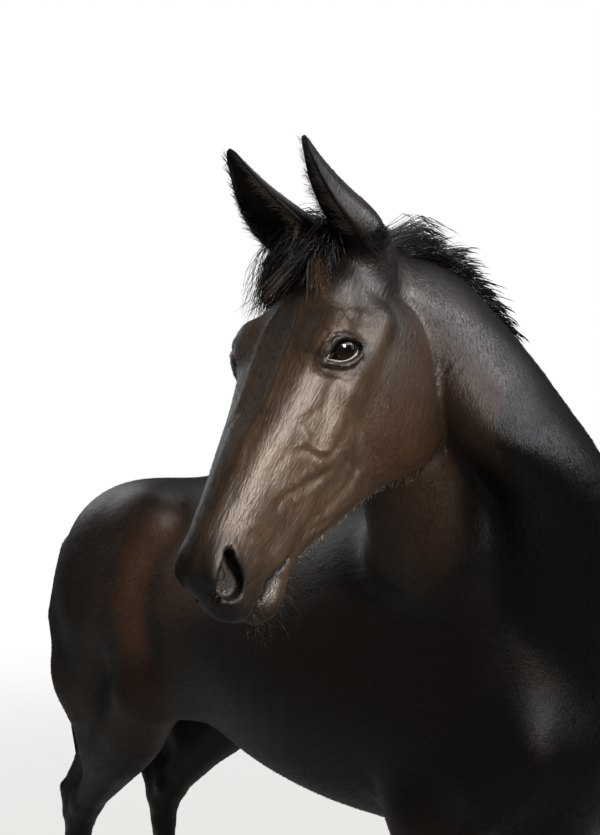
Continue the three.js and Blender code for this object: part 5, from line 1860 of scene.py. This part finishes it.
# %% Hoof material
# Horn: hard keratin worn to a satin, IOR 1.55. Tubules are 0.3 mm apart and drawn 1.5 mm apart to show.
def hoof_material():
    material, add = new_material("dark_hoof_horn")
    wall = add("Attribute", attribute_name="wall").outputs["Vector"]
    place = add("TexCoord").outputs["Object"]
    part = add("SeparateXYZ", {"Vector": wall})
    tubule_place = add("VectorMath", {0: wall, 1: (40.0, 2.5, 0)}, operation="MULTIPLY")
    tubules = add("TexNoise", {"Vector": tubule_place, "Scale": 1.0, "Detail": 2.0})
    band_place = add("VectorMath", {0: wall, 1: (0.7, 13.0, 0)}, operation="MULTIPLY")
    bands = add("TexNoise", {"Vector": band_place, "Scale": 1.0, "Detail": 3.0})
    dirt = add("TexNoise", {"Vector": place, "Scale": 1 / 0.02, "Detail": 4.0})
    both = add("Math", {0: tubules, 1: bands}, operation="ADD")
    mean = add("Math", {0: both, 1: 0.5}, operation="MULTIPLY")
    horn = add("ValToRGB", {"Fac": mean}, stops=[[0.38, "#1c1917"], [0.64, "#4a423b"]])
    worn = add("MapRange", {"Value": part.outputs["Y"], "From Min": 0.30, "From Max": 0.0, "To Max": 0.55})
    colour = add("Mix", {0: worn, 6: horn, 7: linear("#6a5f54")}, data_type="RGBA")
    band = add("MapRange", {"Value": part.outputs["Y"], "From Min": 0.86, "From Max": 0.97, "To Max": 0.6})
    colour = add("Mix", {0: band, 6: colour, 7: linear("#5b534b")}, data_type="RGBA")
    dusty = add("MapRange", {"Value": dirt, "From Min": 0.52, "From Max": 0.75, "To Max": 0.35})
    colour = add("Mix", {0: dusty, 6: colour, 7: linear("#7a6e60")}, data_type="RGBA")
    bump = add("Bump", {"Height": both, "Strength": 0.35, "Distance": 0.0008})
    rough = add("MapRange", {"Value": dirt, "To Min": 0.35, "To Max": 0.65})
    shader = add("BsdfPrincipled", {
        "Base Color": colour,
        "Roughness": rough,
        "IOR": 1.55,
        "Normal": bump,
    })
    add("OutputMaterial", {"Surface": shader})
    return material


horn = hoof_material()
CORONET_X = {"fore": 456, "hind": -788}  # the middle of a hoof's top in a square stance
CORONET_SIDE = {"fore": 123, "hind": 117}


def hoof_place(leg):
    """The middle of a hoof's top, seen from above, and the name of the leg's solid hoof."""
    pair, side_name = leg.split("_")
    x = CORONET_X[pair] + STEP[leg]
    y = SIGNS[side_name] * CORONET_SIDE[pair] + float(bend(np.array(float(x))))
    return x, y, f"{pair}_hoof_{side_name}"


for leg in STEP:
    x, y, solid = hoof_place(leg)
    name = f"hoof_{leg}"
    add_piece(name, hoof_mesh(name, x, y), horn, "hoof", solid)
    low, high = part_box(solid)
    off = Vector(metres([x + HOOF["sole_ahead"], y, 0])) - (low + high) / 2
    print(name, "is off the solid's middle by", [round(v, 4) for v in off[:2]])

# %% [markdown]
# ## Small hair
#
# Lashes, whiskers, the soft hair in the ears, longer hair under the jaw and a fringe at the fetlocks and
# hooves are locks as well, finer and shorter. Each kind has its own roots, way and length.

# %% Roots on the skin
DOWN = np.array([0, 0, -1.0])


def on_skin(points, depth=1.0):
    """The places on the skin nearest to the given ones, a little under it."""
    points = onto_surface(np.asarray(points, float), rounds=10, most=8.0)
    slope = unit(slope_of(points, horse_field(points)))
    return points - slope * depth, slope


def fringe(roots, ways, lengths, pull, clearance, wander, outward, half):
    """Locks between two lengths, as (lines, outward, half width)."""
    chosen = uniform(*lengths, len(roots))
    return grow(roots, ways, chosen, 4, pull, clearance, wander), outward + 0 * roots, half


def fine_hair(name, parts, material):
    """A piece from several sets of (lines, outward, half width), all with the same number of rings."""
    lines = np.concatenate([p[0] for p in parts])
    outward = np.concatenate([p[1] for p in parts])
    half = np.concatenate([taper(len(p[0]), lines.shape[1] - 1, p[2]) for p in parts])
    add_piece(name, hair_mesh(name, lines, outward, half, half * 0.6), material, "long_hair")


pale_hair = long_hair_material("ear_and_lip_hair", "#3a2f27", "#7d6b59", "#97846f")

# %% Lashes
def lashes(sign):
    """Upper lashes stand out over the eye and droop; the lower ones are few and long."""
    parts = []
    for count, upper, length, droop in ((64, True, 13, -0.5), (12, False, 26, -0.35)):
        nose = uniform(-24, 27, count) if upper else uniform(-20, 40, count)
        edges = lid_slit(nose)
        high = edges[0] + 1.0 if upper else edges[1] - uniform(4, 12, count)
        out = np.sqrt(np.maximum(30.5**2 - nose**2 - high**2, 12**2))
        roots = from_eye(packed(nose, high, out), sign)
        slant = packed(nose / 60, 0.45 if upper else -0.8, 1.0)
        ways = from_eye(slant, sign) - from_eye(np.zeros((count, 3)), sign)
        ways = unit(ways) + spread(count, 0.10)
        lengths = length * uniform(0.6, 1.15, count)
        parts.append((grow(roots, ways, lengths, 3, np.array([0, 0, droop]), 0.5, 0.03), ways, 0.32))
    return parts


fine_hair("lashes", lashes(1) + lashes(-1), long_hair)

# %% Whiskers and hair under the jaw
def whiskers():
    parts = []
    chin = packed(uniform(505, 585, 44), uniform(-30, 30, 44), uniform(-215, -175, 44))
    lips = packed(uniform(520, 600, 60), random.choice([-1, 1], 60) * uniform(30, 50, 60),
                     uniform(-152, -114, 60))
    for places, low, high in ((chin, 22, 55), (lips, 15, 38)):
        roots, slope = on_skin(from_head(places))
        ways = slope + faceward * 0.5 + spread(len(roots), 0.2)
        parts.append(fringe(roots, ways, (low, high), DOWN * 0.5, 1.0, 0.04, slope, 0.21))
    under = packed(uniform(90, 500, 900), uniform(-34, 34, 900), 0.0)
    under[:, 2] = np.interp(under[:, 0], [90, 205, 322, 440, 500], [-395, -375, -290, -215, -200])
    roots, slope = on_skin(from_head(under))
    ways = faceward * 1.0 + slope * 0.55 + spread(900, 0.2)
    parts.append(fringe(roots, ways, (8, 20), DOWN * 0.4, 0.8, 0.06, slope, 0.42))
    return parts


fine_hair("whiskers", whiskers(), pale_hair)

# %% Hair of the ears
EAR_CURLS = 30
EAR_MARGIN = 170  # locks along both margins of an ear


def ear_hair(name, count):
    """Hair inside the cup, along both margins, and a few curls from the inner margin near the foot of an ear.
    """
    _, _, up, front, across = (v @ HEAD_AXES for v in ear_frame(name))
    parts = []
    share = uniform(0.14, 0.74, count)
    angle = random.choice([-1, 1], count) * radians(1) * uniform(55, 112, count)
    roots = from_head(ear_point(name, share, angle, np.ones(count)))
    ways = front * 0.8 + up * 0.7 - across * np.sign(angle)[:, None] * 0.5 + spread(count, 0.2)
    lengths = uniform(18, 44, count) * (1.2 - share)
    parts.append((grow(roots, ways, lengths, 4, up * 0.3 + front * 0.2, 0.0, 0.07), front + 0 * roots, 0.45))
    edge = uniform(0.12, 0.97, EAR_MARGIN)
    side = random.choice([-1, 1], EAR_MARGIN)
    roots = from_head(ear_point(name, edge, side * MARGIN_ANGLE * 0.97, np.zeros(EAR_MARGIN)))
    ways = up * 0.9 + front * 0.35 - across * side[:, None] * uniform(0.1, 0.7, EAR_MARGIN)[:, None]
    ways += spread(EAR_MARGIN, 0.10)
    parts.append(fringe(roots, ways, (8, 20), up * 0.3, 0.0, 0.05, front, 0.55))
    # A few pale hairs curl down over the forehead from the inner margin; their paleness is partly a painted
    # highlight.
    inner = SIGNS[name]
    share = uniform(0.06, 0.32, EAR_CURLS)
    roots = from_head(ear_point(name, share, np.full(EAR_CURLS, inner * MARGIN_ANGLE * 0.97), 0 * share))
    ways = front * 1.0 + head_left * (-0.5 * inner) + up * 0.2 + spread(EAR_CURLS, 0.12)
    parts.append(fringe(roots, ways, (34, 58), DOWN * 2.2, 24.0, 0.04, front, 0.75))
    return parts


def ear_foot_hair(name, count):
    _, _, up, front, _ = (v @ HEAD_AXES for v in ear_frame(name))
    share = uniform(0.0, 0.14, count)
    angle = uniform(-2.0, -0.6, count)
    roots = from_head(ear_point(name, share, angle, np.zeros(count)))
    ways = -up * 0.9 - front * 0.45 + spread(count, 0.25)
    return fringe(roots, ways, (12, 30), DOWN * 0.8, 1.2, 0.08, -front, 0.55)


fine_hair("ear_hair", ear_hair("left", 620) + ear_hair("right", 620), pale_hair)
fine_hair("ear_foot_hair", [ear_foot_hair("left", 260), ear_foot_hair("right", 200)], long_hair)

# %% Hair of the fetlocks and coronets
FETLOCK_BACK = 76  # the fetlock's back lies this far behind the middle of the hoof's top


def foot_hair(leg):
    """A fringe behind the fetlock, and short hair over the hoof's edge."""
    x, y, _ = hoof_place(leg)
    turn = pi + random.normal(0, 0.55, 260)
    height = uniform(175, 245, 260)
    places = packed(x - FETLOCK_BACK + 26 * np.cos(turn), y + 24 * np.sin(turn), height)
    roots, slope = on_skin(places)
    ways = slope * 0.45 + np.array([-0.25, 0, -1.0]) + spread(260, 0.12)
    parts = [fringe(roots, ways, (8, 22), DOWN * 0.6, 1.0, 0.05, slope, 0.6)]
    turn = uniform(0, 2 * pi, 520)
    ahead = np.cos(turn) * (HOOF["top_length"] - 1)
    side = np.sin(turn) * (HOOF["top_width"] - 1) * (1 - HOOF["heel"] * np.cos(turn))
    level = HOOF["height"] + HOOF["slope"] * ahead + uniform(3, 12, 520)
    roots, slope = on_skin(packed(x + ahead, y + side, level))
    ways = slope * 0.5 + np.array([0.1, 0, -1.0]) + spread(520, 0.10)
    return parts + [fringe(roots, ways, (9, 17), DOWN * 0.3, 1.2, 0.04, slope, 0.6)]


fine_hair("fetlock_hair", [part for leg in STEP for part in foot_hair(leg)], long_hair)

# %% [markdown]
# ## Tufts of the coat
#
# The coat lies flat, so bump carries most of it. Where light grazes the body, and along its outline, single
# tufts still stand a little proud. Each is a sliver 6 to 14 mm long that lies along the hair's way and lifts
# at its tip. They share the coat's material and the markings of their root, and are shaded with the skin's
# own way of facing, so that a flat tuft melts into the coat.

# %% Scatter over the skin
def scatter(count, density):
    """Random places on the skin's triangles, thicker where density is higher, with the normals there."""
    skin_mesh.calc_loop_triangles()
    corners = np.empty(len(skin_mesh.loop_triangles) * 3, np.int32)
    skin_mesh.loop_triangles.foreach_get("vertices", corners)
    corners = corners.reshape(-1, 3)
    a, b, c = (skin_places[corners[:, i]] for i in range(3))
    middle = (a + b + c) / 3
    weight = norm(np.cross(b - a, c - a), axis=1) * density(middle)
    chosen = random.choice(len(corners), count, p=weight / weight.sum())
    s, t = np.sqrt(random.random(count)), random.random(count)
    share = packed(1 - s, s * (1 - t), s * t)[..., None]
    picked = corners[chosen]
    return (skin_places[picked] * share).sum(1), unit((skin_normals[picked] * share).sum(1))


def tuft_density(points):
    head, neck, trunk, leg = regions(points).T
    under = ease((1050 - points[:, 2]) / 120) * trunk
    place = to_head(points)
    fine = slit_field(*at_eye(place[:, 0], np.abs(place[:, 1]), place[:, 2])[:2])
    eye_free = np.where((head > 0.5) & (np.abs(place[:, 0] - EYE[0]) < 60), ease((fine - 1) / 4), 1)
    muzzle_free = 1 - 0.85 * ease((place[:, 0] - 520) / 50) * head
    return (0.7 + 2.6 * head + 0.9 * neck + 0.6 * under + 0.5 * leg) * eye_free * muzzle_free


def tufts(name, count):
    roots, normals = scatter(count, tuft_density)
    head, neck, trunk, leg = regions(roots).T
    ways = unit(lie_at(roots, normals) + spread(count, 0.12))
    ways = unit(ways - normals * (ways * normals).sum(-1, keepdims=True))
    foot = leg * ease((320 - roots[:, 2]) / 120)
    length = (11.5 - 4.0 * head - 3.5 * foot) * uniform(0.75, 1.25, count)
    lift = (1.5 - 0.6 * head - 0.4 * foot) * uniform(0.5, 1.3, count)
    lines = np.stack([
        roots - normals * 0.5,
        roots + ways * (length * 0.5)[:, None] + normals * (lift * 0.55)[:, None],
        roots + ways * length[:, None] + normals * lift[:, None],
    ], 1)
    half = np.array([0.42, 0.62]) * (1 - 0.35 * head)[:, None]
    half *= uniform(0.7, 1.3, (count, 1))
    mesh = hair_mesh(name, lines, normals, half, half * 0.45, roots)
    per_lock = len(mesh.vertices) // count
    paint(mesh, np.repeat(roots, per_lock, axis=0))
    shading = unit(normals + ways * 0.12 + spread(count, 0.07))
    mesh.normals_split_custom_set_from_vertices(np.repeat(shading, per_lock, axis=0))
    add_piece(name, mesh, coat, "coat")


TUFTS_IN_PIECE = 15500
for letter in "abc":
    tufts(f"coat_tufts_{letter}", TUFTS_IN_PIECE)

# %% [markdown]
# ## Floor and light
#
# A plain pale floor under plain soft light. So that it stays pale while little light comes off it, the
# camera also sees a glow in it, which grows to the wall's white. Four spotlights light the face, the poll,
# the haunch and the arm and leave the neck in shade. Large weak boxes light the rest.

# %% Floor
FLOOR_HALF = 8  # metres
floor_corners = np.array([[-1.0, -1, 0], [1, -1, 0], [1, 1, 0], [-1, 1, 0]]) * FLOOR_HALF
floor_mesh = mesh_of("floor", floor_corners, [[0, 1, 2, 3]])
floor = new_object("floor", floor_mesh)
floor_material, add = new_material("pale_plaster")
floor_noise = add("TexNoise", {"Scale": 1.5, "Detail": 4.0})
floor_colour = add("ValToRGB", {"Fac": floor_noise}, stops=[[0.3, "#eeedea"], [0.7, "#f6f5f3"]])
floor_place = add("TexCoord").outputs["Object"]
from_middle = add("VectorMath", {0: floor_place}, operation="LENGTH")
far = add("MapRange", {"Value": from_middle, "From Min": 2.2, "From Max": 5.5},
                       interpolation_type="SMOOTHSTEP")
plaster = add("BsdfPrincipled", {"Base Color": floor_colour, "Roughness": 0.8})
glow_colour = add("Mix", {0: far, 6: floor_colour, 7: [1, 1, 1, 1]}, data_type="RGBA")
glow = add("Emission", {"Color": glow_colour, "Strength": 1.0})
seen_floor = add("LightPath")
glowing = add("MapRange", {"Value": far, "To Min": 0.9, "To Max": 1.0})
share_of_glow = add("Math", {0: seen_floor.outputs["Is Camera Ray"], 1: glowing}, operation="MULTIPLY")
floor_surface = add("MixShader", {0: share_of_glow, 1: plaster, 2: glow})
add("OutputMaterial", {"Surface": floor_surface})
floor_mesh.materials.append(floor_material)

# %% World
# The camera sees a white wall; the horse gets only a weak fill from it.
AMBIENT = 0.06
world = bpy.data.worlds.new("studio")
bpy.context.scene.world = world
world.use_nodes = True
world.node_tree.nodes.clear()
add = partial(add_node, world.node_tree)
seen = add("LightPath")
wall = add("Background", {"Color": (1, 1, 1, 1), "Strength": 1.0})
fill = add("Background", {"Color": (0.96, 0.98, 1, 1), "Strength": AMBIENT})
either = add("MixShader", {0: seen.outputs["Is Camera Ray"], 1: fill, 2: wall})
add("OutputWorld", {"Surface": either})
bpy.context.scene.view_settings.view_transform = "Standard"

# %% Lights
CAMERA_RIGHT = np.array([0.669, 0.743, 0.0])
CAMERA_BACK = -np.array(CAMERA_WAY)
UPWARD = np.array([0.0, 0.0, 1.0])


def aimed(name, kind, aim, way, distance, power, colour="#ffffff", **settings):
    """A light at a distance from its aim, in a way given as right, up and back from the subject."""
    out = unit(way[0] * CAMERA_RIGHT + way[1] * UPWARD + way[2] * CAMERA_BACK)
    lamp = bpy.data.lights.new(name, kind)
    lamp.energy, lamp.color = power, linear(colour)[:3]
    for key, value in settings.items():
        setattr(lamp, key, value)
    light = new_object(name, lamp)
    light.location = metres(aim + out * distance * 1000)
    light.rotation_euler = Vector(-out).to_track_quat("-Z", "Y").to_euler()
    light.visible_camera = False
    return light


def soft_box(name, aim, way, distance, size, power, spread=180):
    aimed(name, "AREA", aim, way, distance, power, shape="DISK", size=size, spread=radians(spread))


def spot(name, aim, way, distance, softness, power, angle, colour):
    """A spotlight whose beam fades from its middle to its edge."""
    aimed(name, "SPOT", aim, way, distance, power, colour, shadow_soft_size=softness,
          spot_size=radians(angle), spot_blend=1.0)


face_middle = from_head([380, 55, -95])
crest_middle = from_head([-60, 90, -160])
haunch = np.array([-520.0, -245, 1300])
right_arm = np.array([420.0, -205, 1140])
spot("key", face_middle, (0.56, 0.36, 0.76), 1.7, 0.22, 215, 27, "#fff0df")
spot("poll", crest_middle, (0.80, 0.55, 0.15), 1.6, 0.20, 62, 22, "#fff3e6")
spot("hip", haunch, (0.546, 0.25, 0.80), 0.85, 0.03, 62, 34, "#fff0e2")
spot("arm", right_arm, (0.15, 0.40, 0.95), 1.9, 0.25, 34, 15, "#ffe6cc")
window = aimed("window", "AREA", from_head(EYE), (0.65, 0.60, 0.45), 1.2, 12, "#eef3ff", shape="RECTANGLE",
               size=1.8, size_y=0.7)
window.visible_diffuse = False  # it only puts a shine on the eyes and the coat
soft_box("top", np.array([0.0, 0, 1500]), (0.1, 1.0, -0.35), 2.6, 2.0, 6, 120)
soft_box("far_side", np.array([200.0, 0, 1400]), (-0.75, 0.45, -0.7), 3.2, 2.0, 14)
soft_box("near_side", np.array([0.0, 0, 1100]), (0.9, 0.35, 0.15), 4.0, 1.6, 3)
